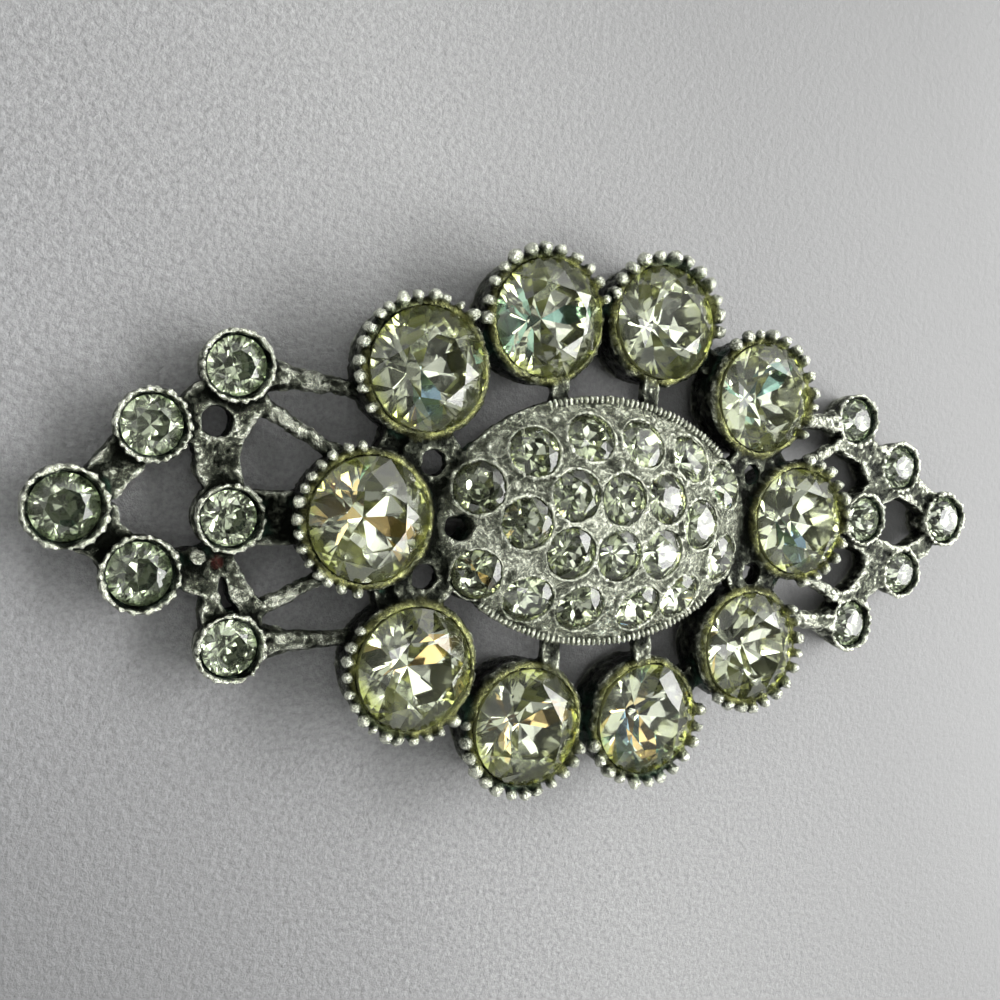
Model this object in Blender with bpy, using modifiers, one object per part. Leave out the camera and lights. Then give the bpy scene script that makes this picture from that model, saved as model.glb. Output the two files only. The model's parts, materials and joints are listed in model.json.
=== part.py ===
"""Rhinestone brooch: a one-piece cast openwork frame set with forty-two cut glass stones.

Ten large round stones ring a domed oval plaque of twenty small stones, and an openwork wing
of six stones reaches out at each end. X runs along the brooch, Y across it, and Z up out of
its face. It lies on its back on the plane Z = 0. Lengths are in metres.
"""
import math

import bmesh
import bpy
from mathutils import Matrix, Vector

# Clearances and shared thicknesses
SEAT_GAP = 0.0003
CUP_FLOOR = 0.0006
BOOLEAN_REACH = 0.0015

# Large ring stones and their cups
LARGE_STONE_RADIUS = 0.0040
LARGE_CROWN = 0.00125
LARGE_GIRDLE = 0.0005
LARGE_PAVILION = 0.0024
LARGE_SEAT_CLEARANCE = 0.00033
LARGE_CUP_WALL = 0.00037
LARGE_CUP_TAPER = 0.00035
LARGE_RIM_DROP = 0.00015
RING_UNDERSIDE = 0.0014
RING_DROP = 0.0007
NECK_WIDTH = 0.0018
NECK_HEIGHT = 0.0017
NECK_DROP = 0.0008

# Cast beads on the outer half of each large cup
BEAD_RADIUS = 0.0005
BEAD_COUNT = 11
BEAD_ARC = math.radians(155)
BEAD_CLEARANCE = 0.00004

# Wing stones and their cups
WING_STONE_RADIUS = 0.0018
WING_CROWN = 0.0007
WING_GIRDLE = 0.0003
WING_PAVILION = 0.0012
WING_SEAT_CLEARANCE = 0.00015
WING_CUP_WALL = 0.00029
WING_CUP_TAPER = 0.0004
WING_LEDGE_DEPTH = 0.0005
WING_FLOOR_RADIUS = 0.0010
WING_RIM_RISE = 0.0007
WING_MOUTH_WIDENING = 0.0002
WING_CUP_GAP = 0.00218
WING_STUB_LENGTH = 0.0015
WING_STUB_WIDTH = 0.0034

# Wing web and struts
WEB_UNDERSIDE = 0.0008
WEB_THICKNESS = 0.0017
WEB_HOLE_RADIUS = 0.00098
STRUT_RADIUS = 0.0006
STRUT_START_HEIGHT = 0.0018
STRUT_END_HEIGHT = 0.0025
BOSS_RADIUS = 0.0006
BOSS_RISE = 0.0004

# Pave stones and the domed plaque
PAVE_STONE_RADIUS = 0.00167
PAVE_CROWN = 0.00055
PAVE_GIRDLE = 0.0002
PAVE_PAVILION = 0.00095
PAVE_SEAT_CLEARANCE = 0.00013
PAVE_WALL = 0.0001
PAVE_LEDGE_DEPTH = 0.00035
PAVE_FLOOR_RADIUS = 0.0007
PLAQUE_DOT_RADIUS = 0.00036
PLAQUE_DROP = 0.00055
PLAQUE_BORDER = 0.0005
PLAQUE_BORDER_THICKNESS = 0.0008
DOME_RISE = 0.00285
DOME_ROUNDNESS = 0.8

# Ties between the plaque and the ring
END_GAP = 0.00035
END_TIE_WIDTH = 0.0034
POST_LENGTH = 0.00085
POST_WIDTH = 0.0013
TIE_THICKNESS = 0.0009
CORNER_PLATE_RADIUS = 0.0023
END_HOLE_RADIUS = 0.00085
END_HOLE_SHIFT = 0.0005
CORNER_HOLE_RADIUS = 0.0008

# Pin at the back
PIN_RADIUS = 0.00045
PIN_FOOT_LENGTH = 0.0034
PIN_FOOT_WIDTH = 0.0026
PIN_FOOT_THICKNESS = 0.0007

# Facet and side counts
LARGE_CUP_SIDES = 20
WING_CUP_SIDES = 14
PAVE_POCKET_SIDES = 12
PLAQUE_SIDES = 48
DOME_SIDES = 24
HOLE_SIDES = 12
BEAD_SIDES = 6
FLAT_ANGLE = math.radians(0.3)
SHARP_ANGLE = math.radians(40)
TABLE_SHARE = 0.54
STAR_SHARE = 0.77
LOWER_SHARE = 0.45

# Worked-out sizes
LARGE_STONE_DEPTH = LARGE_GIRDLE + LARGE_PAVILION
LARGE_POCKET_RADIUS = LARGE_STONE_RADIUS + LARGE_SEAT_CLEARANCE
LARGE_CUP_RADIUS = LARGE_POCKET_RADIUS + LARGE_CUP_WALL
LARGE_POCKET_DEPTH = LARGE_STONE_DEPTH + SEAT_GAP
RING_HEIGHT = RING_UNDERSIDE + CUP_FLOOR + LARGE_POCKET_DEPTH
WING_STONE_DEPTH = WING_GIRDLE + WING_PAVILION
WING_POCKET_RADIUS = WING_STONE_RADIUS + WING_SEAT_CLEARANCE
WING_CUP_RADIUS = WING_POCKET_RADIUS + WING_CUP_WALL
WING_POCKET_DEPTH = WING_STONE_DEPTH + SEAT_GAP
WING_HEIGHT = CUP_FLOOR + WING_POCKET_DEPTH
WING_PITCH = 2 * WING_CUP_RADIUS + WING_CUP_GAP
PAVE_STONE_DEPTH = PAVE_GIRDLE + PAVE_PAVILION
PAVE_POCKET_RADIUS = PAVE_STONE_RADIUS + PAVE_SEAT_CLEARANCE
PAVE_PITCH = 2 * PAVE_POCKET_RADIUS + PAVE_WALL
PAVE_POCKET_DEPTH = PAVE_STONE_DEPTH + SEAT_GAP
PLAQUE_THICKNESS = PAVE_POCKET_DEPTH + CUP_FLOOR
PLAQUE_HALF_LENGTH = 3.43 * PAVE_PITCH
PLAQUE_HALF_WIDTH = 2.39 * PAVE_PITCH
DOME_HALF_LENGTH = PLAQUE_HALF_LENGTH - PLAQUE_BORDER
DOME_HALF_WIDTH = PLAQUE_HALF_WIDTH - PLAQUE_BORDER
PLAQUE_EDGE_HEIGHT = RING_HEIGHT - PLAQUE_DROP
RING_HALF_LENGTH = PLAQUE_HALF_LENGTH + END_GAP + LARGE_CUP_RADIUS
RING_HALF_WIDTH = PLAQUE_HALF_WIDTH + POST_LENGTH + LARGE_CUP_RADIUS
WING_ROOT = RING_HALF_LENGTH + LARGE_CUP_RADIUS + WING_STUB_LENGTH + WING_CUP_RADIUS

# Places of the large stones, as shares of the ring's half length and half width
RING_PLACES = {
    # number: (along, across)
    1: (-0.783, 0.684),
    2: (-0.279, 0.969),
    3: (0.268, 1.008),
    4: (0.783, 0.667),
    5: (1.000, 0.017),
    6: (0.783, -0.656),
    7: (0.279, -1.014),
    8: (-0.285, -1.007),
    9: (-0.783, -0.691),
    10: (-0.994, -0.003),
}

# Places of the wing stones, as shares of the wing pitch, from the stone next to the ring
# and each cup's width as a share of the usual one
WING_PLACES = {
    # side and place: (outwards, across, rise, width)
    ("left", "tip"): (1.433, 0.045, 0.06, 1.12),
    ("left", "upper"): (0.70, 0.80, 0.0, 1.02),
    ("left", "lower"): (0.77, -0.56, 0.0, 1.08),
    ("left", "top"): (-0.055, 1.39, 0.0, 1.03),
    ("left", "bottom"): (-0.075, -1.275, 0.0, 0.98),
    ("left", "inner"): (0.0, -0.03, 0.12, 0.96),
    ("right", "tip"): (1.50, 0.06, 0.0, 1.04),
    ("right", "upper"): (0.71, 0.71, -0.04, 0.96),
    ("right", "lower"): (0.835, -0.64, -0.04, 0.93),
    ("right", "top"): (-0.06, 1.27, -0.04, 0.96),
    ("right", "bottom"): (0.025, -1.275, -0.04, 1.0),
    ("right", "inner"): (0.0, 0.055, 0.12, 0.96),
}

# Rise of the wing cups' rims on each side, as a share of the usual one
WING_RIM_SHARES = {"left": 1.0, "right": 0.6}

# Places of the pave stones, as shares of the pave pitch
PAVE_PLACES = {
    # number: (along, across)
    1: (-2.75, 0.60),
    2: (-1.73, 1.28),
    3: (-0.58, 1.59),
    4: (0.56, 1.53),
    5: (1.74, 1.28),
    6: (2.70, 0.79),
    7: (2.70, -0.69),
    8: (1.67, -1.43),
    9: (0.665, -1.62),
    10: (-0.63, -1.61),
    11: (-1.70, -1.42),
    12: (-2.69, -0.98),
    13: (-1.905, -0.01),
    14: (-0.98, 0.52),
    15: (0.02, 0.47),
    16: (1.02, 0.50),
    17: (1.925, 0.005),
    18: (0.98, -0.57),
    19: (-0.02, -0.585),
    20: (-1.03, -0.545),
}

# Small raised dots between the pave stones, as shares of the pave pitch
PLAQUE_DOTS = ((-2.53, 1.34), (-1.25, 1.89), (-2.14, 0.68), (0.07, 2.08), (-0.04, 1.11))

# Pierced corners beside the plaque's ends, as shares of the ring's half length and half width
CORNER_HOLES = (
    # (along, across, width of the hole as a share of the usual one)
    (-0.739, 0.260, 1.06),
    (-0.755, -0.265, 1.06),
    (0.7525, 0.2605, 0.94),
    (0.7835, -0.2675, 1.0),
)

# Posts between the plaque and the ring: a large cup and the post's place as a share of its own
POSTS = ((2, 0.75), (3, 0.80), (7, 0.87), (8, 0.68))

# Struts of one wing: a wing cup and the direction its strut leaves in, a ring cup and the
# direction from that cup's middle to the strut's end, all for the left wing, and its width at
# each end as a share of the usual one
STRUTS = (
    # (wing cup, leaving degrees, left ring cup, right ring cup, meeting degrees, two widths)
    ("top", -10, 1, 4, 205, 1.33, 0.92),
    ("top", -62, 10, 5, 105, 1.03, 0.87),
    ("bottom", 66, 10, 5, -112, 1.03, 0.83),
    ("bottom", 6, 9, 6, 150, 1.5, 0.83),
)

# Plates of the webs: a side, and corners as (outwards, across) in shares of the wing pitch
WEB_PLATES = (
    # from the tip to the upper cup
    ("left", ((1.41, 0.24), (1.25, 0.41), (1.14, 0.54), (1.02, 0.68), (0.80, 0.69), (0.74, 0.40),
              (0.87, 0.28), (0.96, 0.15), (1.11, 0.05))),
    # from the tip to the lower cup
    ("left", ((1.11, 0.09), (0.97, 0.06), (0.96, -0.10), (0.86, -0.17), (0.78, -0.38), (0.96, -0.54),
              (1.14, -0.50), (1.17, -0.42), (1.35, -0.35), (1.40, -0.15))),
    # from the upper and top cups to the inner cup
    ("left", ((0.51, 0.99), (0.39, 1.13), (0.30, 1.21), (0.20, 1.23), (-0.06, 1.16), (-0.30, 1.19),
              (-0.42, 1.05), (-0.25, 0.87), (-0.15, 0.68), (-0.11, 0.48), (-0.18, 0.24), (0.18, 0.23),
              (0.30, 0.39), (0.29, 0.54), (0.33, 0.65), (0.53, 0.69))),
    # from the inner and lower cups to the bottom cup
    ("left", ((0.57, -0.33), (0.38, -0.35), (0.23, -0.32), (0.12, -0.24), (-0.09, -0.27), (-0.11, -0.43),
              (-0.23, -0.66), (-0.39, -0.87), (-0.37, -1.08), (-0.09, -1.14), (0.17, -1.14), (0.21, -0.93),
              (0.18, -0.80), (0.29, -0.75), (0.41, -0.69), (0.60, -0.60))),
    # from the tip round the upper and top cups to the inner cup
    ("right", ((-0.30, 1.11), (-0.37, 0.90), (-0.16, 0.81), (0.04, 0.72), (0.18, 0.50), (0.06, 0.36),
               (0.03, 0.21), (0.27, 0.15), (0.47, 0.25), (0.72, 0.33), (0.92, 0.27), (1.05, 0.20),
               (1.22, 0.09), (1.35, 0.27), (1.34, 0.42), (1.20, 0.47), (1.08, 0.56), (0.92, 0.78),
               (0.63, 0.84), (0.44, 0.98), (0.32, 0.96), (0.20, 1.04), (0.12, 1.23), (-0.10, 1.20))),
    # from the tip round the lower and bottom cups to the inner cup
    ("right", ((0.03, -0.08), (-0.09, -0.21), (-0.01, -0.32), (0.18, -0.39), (0.21, -0.54), (0.12, -0.69),
               (-0.04, -0.83), (-0.22, -0.89), (-0.19, -1.14), (0.18, -1.17), (0.26, -0.96), (0.42, -0.86),
               (0.65, -0.78), (0.95, -0.63), (1.11, -0.48), (1.26, -0.42), (1.41, -0.24), (1.26, -0.09),
               (1.08, -0.21), (0.92, -0.29), (0.72, -0.30), (0.53, -0.23), (0.32, -0.18))),
)

# Slit, hole and boss of the left wing's web, in the same shares
WEB_SLIT = ((0.05, -0.60), (0.05, -0.72), (-0.01, -0.92), (-0.16, -0.92), (-0.07, -0.80), (0.00, -0.59))
WEB_MARKS = {"eye": (0.11, 0.865), "boss": (0.26, -0.40)}


def ring_height(across):
    """Height of a large stone's crown edge: the ring droops towards its long sides."""
    return RING_HEIGHT - RING_DROP * (across / RING_HALF_WIDTH) ** 2


def ring_centre(number):
    """Middle of a large stone, at its crown edge."""
    along, across = RING_PLACES[number]
    y = across * RING_HALF_WIDTH
    return Vector((along * RING_HALF_LENGTH, y, ring_height(y)))


def wing_centre(side, place):
    """Middle of a wing stone, at its crown edge."""
    outwards, across, rise, _ = WING_PLACES[side, place]
    sign = -1 if side == "left" else 1
    x = sign * (WING_ROOT + outwards * WING_PITCH)
    return Vector((x, across * WING_PITCH, WING_HEIGHT + rise * WING_PITCH))


def dome_height(x, y):
    """Height of the plaque's domed face."""
    reach = (x / DOME_HALF_LENGTH) ** 2 + (y / DOME_HALF_WIDTH) ** 2
    return PLAQUE_EDGE_HEIGHT + DOME_RISE * max(0.0, 1 - reach) ** DOME_ROUNDNESS


def dome_normal(x, y):
    """Direction that the plaque's face looks in."""
    step = PAVE_STONE_RADIUS
    slope_x = (dome_height(x + step, y) - dome_height(x - step, y)) / (2 * step)
    slope_y = (dome_height(x, y + step) - dome_height(x, y - step)) / (2 * step)
    return Vector((-slope_x, -slope_y, 1)).normalized()


def pave_frame(number):
    """Place and turn of a pave stone: its axis follows the dome."""
    along, across = PAVE_PLACES[number]
    x = along * PAVE_PITCH
    y = across * PAVE_PITCH
    turn = dome_normal(x, y).to_track_quat("Z", "Y").to_matrix().to_4x4()
    return Matrix.Translation((x, y, dome_height(x, y))) @ turn


def clear_scene():
    for item in list(bpy.data.objects):
        bpy.data.objects.remove(item)


def make_collection(name):
    group = bpy.data.collections.new(name)
    bpy.context.scene.collection.children.link(group)
    return group


def make_material(name, colour, metallic, roughness, transmission=0.0):
    material = bpy.data.materials.new(name)
    material.use_nodes = True
    shader = material.node_tree.nodes["Principled BSDF"]
    shader.inputs["Base Color"].default_value = (*colour, 1)
    shader.inputs["Metallic"].default_value = metallic
    shader.inputs["Roughness"].default_value = roughness
    shader.inputs["Transmission Weight"].default_value = transmission
    return material


def add_object(name, shape, group, material=None):
    """Turn a bmesh into an object with round sides shaded smooth."""
    mesh = bpy.data.meshes.new(name)
    bmesh.ops.recalc_face_normals(shape, faces=shape.faces)
    shape.to_mesh(mesh)
    shape.free()
    mesh.shade_smooth()
    mesh.set_sharp_from_angle(angle=SHARP_ANGLE)
    if material:
        mesh.materials.append(material)
    item = bpy.data.objects.new(name, mesh)
    group.objects.link(item)
    return item


def add_helper(name, shape, group):
    """Object that only shapes other objects and isn't part of the brooch itself."""
    item = add_object(name, shape, group)
    item.hide_render = True
    item.display_type = "WIRE"
    return item


def add_cone(name, group, matrix, low, high, low_radius, high_radius, sides):
    """Round helper between two heights along the local Z of a matrix."""
    shape = bmesh.new()
    middle = Matrix.Translation((0, 0, (low + high) / 2))
    bmesh.ops.create_cone(shape, cap_ends=True, segments=sides, radius1=low_radius,
                          radius2=high_radius, depth=high - low, matrix=matrix @ middle)
    return add_helper(name, shape, group)


def add_turned(name, group, matrix, profile, sides):
    """Round helper through rings of given heights and radii, from the lowest up."""
    shape = bmesh.new()
    loops = []
    for height, radius in profile:
        points = circle_points(radius, height, sides)
        loops.append([shape.verts.new(matrix @ Vector(point)) for point in points])
    for lower, upper in zip(loops, loops[1:]):
        for step in range(sides):
            after = (step + 1) % sides
            shape.faces.new((lower[step], lower[after], upper[after], upper[step]))
    shape.faces.new(list(reversed(loops[0])))
    shape.faces.new(loops[-1])
    return add_helper(name, shape, group)


def add_box(name, group, start, end, width, low, high):
    """Upright slab helper along the line between two points."""
    flat = Vector((end.x - start.x, end.y - start.y, 0))
    turn = Matrix.Rotation(math.atan2(flat.y, flat.x), 4, "Z")
    middle = Vector(((start.x + end.x) / 2, (start.y + end.y) / 2, (low + high) / 2))
    size = Matrix.Diagonal((flat.length, width, high - low, 1))
    shape = bmesh.new()
    bmesh.ops.create_cube(shape, size=1, matrix=Matrix.Translation(middle) @ turn @ size)
    return add_helper(name, shape, group)


def add_rod(name, group, start, end, start_radius, end_radius):
    """Six-sided tapered rod helper between two points, with a ridge on top."""
    axis = end - start
    turn = axis.to_track_quat("Z", "X").to_matrix().to_4x4()
    matrix = Matrix.Translation((start + end) / 2) @ turn
    shape = bmesh.new()
    bmesh.ops.create_cone(shape, cap_ends=True, segments=6, radius1=start_radius,
                          radius2=end_radius, depth=axis.length, matrix=matrix)
    return add_helper(name, shape, group)


def add_plate(name, group, outline, low, high):
    """Flat plate helper with the given outline."""
    shape = bmesh.new()
    corners = [shape.verts.new((point.x, point.y, low)) for point in outline]
    face = shape.faces.new(corners)
    lifted = bmesh.ops.extrude_face_region(shape, geom=[face])
    upper = [item for item in lifted["geom"] if isinstance(item, bmesh.types.BMVert)]
    bmesh.ops.translate(shape, verts=upper, vec=(0, 0, high - low))
    return add_helper(name, shape, group)


def add_ellipse_plate(name, group, half_length, half_width, low, high):
    outline = []
    for step in range(PLAQUE_SIDES):
        angle = 2 * math.pi * step / PLAQUE_SIDES
        outline.append(Vector((half_length * math.cos(angle), half_width * math.sin(angle), 0)))
    return add_plate(name, group, outline, low, high)


def circle_points(radius, height, count, phase=0.0):
    points = []
    for step in range(count):
        angle = 2 * math.pi * (step + phase) / count
        points.append((radius * math.cos(angle), radius * math.sin(angle), height))
    return points


def make_cut_stone(name, points, material):
    """Mesh of a closed faceted stone around points that all lie on it."""
    shape = bmesh.new()
    for point in points:
        shape.verts.new(point)
    bmesh.ops.convex_hull(shape, input=shape.verts)
    bmesh.ops.recalc_face_normals(shape, faces=shape.faces)
    mesh = bpy.data.meshes.new(name)
    shape.to_mesh(mesh)
    shape.free()
    mesh.materials.append(material)
    return mesh


def on_facet(share, rim_share, height):
    """Height of a point halfway between two main facets, where both facets meet."""
    reach = share * math.cos(math.pi / 8)
    return height * (1 - reach) / (1 - rim_share)


def make_brilliant(name, material, radius, crown, girdle, pavilion):
    """Round brilliant: table, 8 stars, 8 kites and 16 halves above, 8 kites and 16 halves below."""
    points = circle_points(TABLE_SHARE * radius, crown, 8)
    points += circle_points(STAR_SHARE * radius, on_facet(STAR_SHARE, TABLE_SHARE, crown), 8, 0.5)
    points += circle_points(radius, 0, 16)
    points += circle_points(radius, -girdle, 16)
    lower = -girdle - on_facet(LOWER_SHARE, 0, pavilion)
    points += circle_points(LOWER_SHARE * radius, lower, 8, 0.5)
    points.append((0, 0, -girdle - pavilion))
    return make_cut_stone(name, points, material)


def make_single_cut(name, material, radius, crown, girdle, pavilion):
    """Small stone: an octagonal table, 16 crown facets and 8 pavilion facets."""
    points = circle_points(TABLE_SHARE * radius, crown, 8, 0.5)
    points += circle_points(radius, 0, 8)
    points += circle_points(radius, -girdle, 8)
    points.append((0, 0, -girdle - pavilion))
    return make_cut_stone(name, points, material)


def outward_angle(centre):
    """Direction away from the ring's middle, square to the ring."""
    return math.atan2(centre.y / RING_HALF_WIDTH ** 2, centre.x / RING_HALF_LENGTH ** 2)


def add_ring_cup(number, solids, pockets):
    """Tapered cup of a large stone with beads round the outer half of its rim."""
    centre = ring_centre(number)
    place = Matrix.Translation(centre)
    name = f"ring_cup_{number:02d}"
    bottom = -LARGE_POCKET_DEPTH - CUP_FLOOR
    add_cone(name, solids, place, bottom, -LARGE_RIM_DROP,
             LARGE_CUP_RADIUS - LARGE_CUP_TAPER, LARGE_CUP_RADIUS, LARGE_CUP_SIDES)
    add_cone(f"{name}_pocket", pockets, place, -LARGE_POCKET_DEPTH, BOOLEAN_REACH,
             LARGE_POCKET_RADIUS, LARGE_POCKET_RADIUS, LARGE_CUP_SIDES)
    middle = outward_angle(centre)
    reach = LARGE_POCKET_RADIUS + BEAD_RADIUS + BEAD_CLEARANCE
    shape = bmesh.new()
    for step in range(BEAD_COUNT):
        angle = middle + BEAD_ARC * (step / (BEAD_COUNT - 1) - 0.5)
        spot = centre + reach * Vector((math.cos(angle), math.sin(angle), 0))
        spot.z -= LARGE_RIM_DROP
        turn = Matrix.Rotation(angle, 4, "Z")
        bmesh.ops.create_uvsphere(shape, u_segments=BEAD_SIDES, v_segments=3, radius=BEAD_RADIUS,
                                  matrix=Matrix.Translation(spot) @ turn)
    add_helper(f"{name}_beads", shape, solids)


def add_wing_cup(side, place, solids, pockets):
    """Tapered cup of a wing stone, standing on the back plane, with a widening mouth."""
    centre = wing_centre(side, place)
    width = WING_PLACES[side, place][3]
    matrix = Matrix.Translation(centre)
    name = f"wing_cup_{side}_{place}"
    outer = width * WING_CUP_RADIUS
    rise = WING_RIM_SHARES[side] * WING_RIM_RISE
    add_cone(name, solids, matrix, -centre.z, rise, outer - WING_CUP_TAPER, outer, WING_CUP_SIDES)
    pocket = width * WING_POCKET_RADIUS
    top = rise + BOOLEAN_REACH
    mouth = pocket + WING_MOUTH_WIDENING * top / rise
    profile = ((-WING_POCKET_DEPTH, WING_FLOOR_RADIUS), (-WING_LEDGE_DEPTH, pocket), (0, pocket),
               (top, mouth))
    add_turned(f"{name}_pocket", pockets, matrix, profile, WING_CUP_SIDES)


def add_pave_pocket(number, pockets):
    """Seat of a pave stone, sunk square to the dome: a straight ledge over a tapered floor."""
    profile = ((-PAVE_POCKET_DEPTH, PAVE_FLOOR_RADIUS), (-PAVE_LEDGE_DEPTH, PAVE_POCKET_RADIUS),
               (BOOLEAN_REACH, PAVE_POCKET_RADIUS))
    add_turned(f"pave_pocket_{number:02d}", pockets, pave_frame(number), profile, PAVE_POCKET_SIDES)


def add_plaque_dots(solids):
    """Small cast dots between the pave stones."""
    shape = bmesh.new()
    for along, across in PLAQUE_DOTS:
        x = along * PAVE_PITCH
        y = across * PAVE_PITCH
        bmesh.ops.create_uvsphere(shape, u_segments=BEAD_SIDES, v_segments=3, radius=PLAQUE_DOT_RADIUS,
                                  matrix=Matrix.Translation((x, y, dome_height(x, y))))
    add_helper("plaque_dots", shape, solids)


def add_turned_dome(name, group, shares, drop, bottom):
    """Turned solid under the dome's face, lowered by a drop and narrowed to the plaque's width."""
    profile = []
    for share in shares:
        x = share * DOME_HALF_LENGTH
        profile.append((x, dome_height(x, 0) - drop))
    profile.append((profile[-1][0], bottom))
    profile.append((0, bottom))
    shape = bmesh.new()
    corners = [shape.verts.new((x, 0, z)) for x, z in profile]
    for first, second in zip(corners, corners[1:]):
        shape.edges.new((first, second))
    dome = add_helper(name, shape, group)
    dome.scale.y = DOME_HALF_WIDTH / DOME_HALF_LENGTH
    turn = dome.modifiers.new("turn", "SCREW")
    turn.axis = "Z"
    turn.steps = DOME_SIDES
    turn.render_steps = DOME_SIDES
    turn.use_merge_vertices = True
    turn.merge_threshold = 0.00001
    return dome


def add_plaque_ties(solids, pockets):
    """Border, end ties, corner plates and posts that carry the plaque in the ring."""
    top = PLAQUE_EDGE_HEIGHT
    add_ellipse_plate("plaque_border", solids, PLAQUE_HALF_LENGTH, PLAQUE_HALF_WIDTH,
                      top - PLAQUE_BORDER_THICKNESS, top)
    for number in (5, 10):
        cup = ring_centre(number)
        sign = math.copysign(1, cup.x)
        start = Vector((sign * (DOME_HALF_LENGTH - LARGE_CUP_WALL), 0, 0))
        end = Vector((cup.x, 0, 0))
        add_box(f"end_tie_{number:02d}", solids, start, end, END_TIE_WIDTH, top - 1.7 * TIE_THICKNESS,
                top - 0.1 * TIE_THICKNESS)
    place = Matrix.Translation((END_HOLE_RADIUS - DOME_HALF_LENGTH, -END_HOLE_SHIFT, top))
    add_cone("end_hole", pockets, place, -PLAQUE_THICKNESS - DOME_RISE, DOME_RISE, END_HOLE_RADIUS,
             END_HOLE_RADIUS, HOLE_SIDES)
    for along, across, width in CORNER_HOLES:
        add_corner_plate(along * RING_HALF_LENGTH, across * RING_HALF_WIDTH, width * CORNER_HOLE_RADIUS,
                         solids, pockets)
    for number, share in POSTS:
        cup = ring_centre(number)
        x = share * cup.x
        edge = math.copysign(DOME_HALF_WIDTH * 0.97, cup.y)
        add_box(f"post_{number:02d}", solids, Vector((x, edge, 0)), Vector((x, cup.y, 0)), POST_WIDTH,
                top - 1.2 * TIE_THICKNESS, top - 0.2 * TIE_THICKNESS)


def add_corner_plate(x, y, radius, solids, pockets):
    """Round plate with a pierced hole where a plaque end meets two cups."""
    place = Matrix.Translation((x, y, PLAQUE_EDGE_HEIGHT - 0.15 * TIE_THICKNESS))
    add_cone("corner_plate", solids, place, -TIE_THICKNESS, 0, CORNER_PLATE_RADIUS,
             CORNER_PLATE_RADIUS, HOLE_SIDES)
    add_cone("corner_hole", pockets, place, -PLAQUE_THICKNESS - DOME_RISE, DOME_RISE, radius, radius,
             HOLE_SIDES)


def add_necks(solids):
    """Short necks that join each large cup to the next one round the ring."""
    count = len(RING_PLACES)
    for number in range(1, count + 1):
        start = ring_centre(number)
        end = ring_centre(number % count + 1)
        top = min(start.z, end.z) - NECK_DROP
        add_box(f"neck_{number:02d}", solids, start, end, NECK_WIDTH, top - NECK_HEIGHT, top)


def cup_side(centre, radius, degrees, mirrored, height):
    """Point on the side of a cup, in a direction that a right-hand wing mirrors."""
    angle = math.radians(180 - degrees if mirrored else degrees)
    return Vector((centre.x + radius * math.cos(angle), centre.y + radius * math.sin(angle), height))


def web_point(side, outwards, across):
    """Point of a wing's web, from its place in shares of the wing pitch."""
    sign = -1 if side == "left" else 1
    return Vector((sign * (WING_ROOT + outwards * WING_PITCH), across * WING_PITCH, 0))


def add_wing_webs(solids, pockets):
    """Pierced web plates between the cups of both wings, with a small boss."""
    low = WEB_UNDERSIDE
    high = WEB_UNDERSIDE + WEB_THICKNESS
    for index, (side, corners) in enumerate(WEB_PLATES):
        outline = [web_point(side, *corner) for corner in corners]
        step = 0.02 * (index % 4) * WEB_THICKNESS
        add_plate(f"web_{side}_{index}", solids, outline, low + step, high - step)
    outline = [web_point("left", *corner) for corner in WEB_SLIT]
    add_plate("web_slit", pockets, outline, -BOOLEAN_REACH, 2 * high)
    place = Matrix.Translation(web_point("left", *WEB_MARKS["eye"]))
    add_cone("web_eye", pockets, place, -BOOLEAN_REACH, 2 * high, WEB_HOLE_RADIUS, WEB_HOLE_RADIUS,
             HOLE_SIDES)
    place = web_point("left", *WEB_MARKS["boss"]) + Vector((0, 0, high))
    add_cone("web_boss", solids, Matrix.Translation(place), -0.5 * WEB_THICKNESS, BOSS_RISE, BOSS_RADIUS,
             0.8 * BOSS_RADIUS, HOLE_SIDES // 2)


def add_wing_ties(side, solids):
    """Stub and struts that carry one wing on the ring."""
    mirrored = side == "right"
    inner = wing_centre(side, "inner")
    stub_end = ring_centre(5 if mirrored else 10)
    stub_end.y = inner.y
    add_box(f"stub_{side}", solids, inner, stub_end, WING_STUB_WIDTH, 1.4 * WEB_UNDERSIDE,
            WEB_UNDERSIDE + 1.3 * WEB_THICKNESS)
    for place, leaving, left_cup, right_cup, meeting, start_width, end_width in STRUTS:
        end_cup = ring_centre(right_cup if mirrored else left_cup)
        reach = WING_PLACES[side, place][3] * WING_CUP_RADIUS - WING_CUP_WALL / 2
        start = cup_side(wing_centre(side, place), reach, leaving, mirrored, STRUT_START_HEIGHT)
        end = cup_side(end_cup, LARGE_POCKET_RADIUS - end_width * STRUT_RADIUS, meeting, mirrored,
                       STRUT_END_HEIGHT)
        add_rod(f"strut_{side}_{place}_{left_cup}", solids, start, end, start_width * STRUT_RADIUS,
                end_width * STRUT_RADIUS)


def add_boolean(item, name, operation, group):
    step = item.modifiers.new(name, "BOOLEAN")
    step.operation = operation
    step.operand_type = "COLLECTION"
    step.collection = group
    step.solver = "EXACT"
    return step


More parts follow.
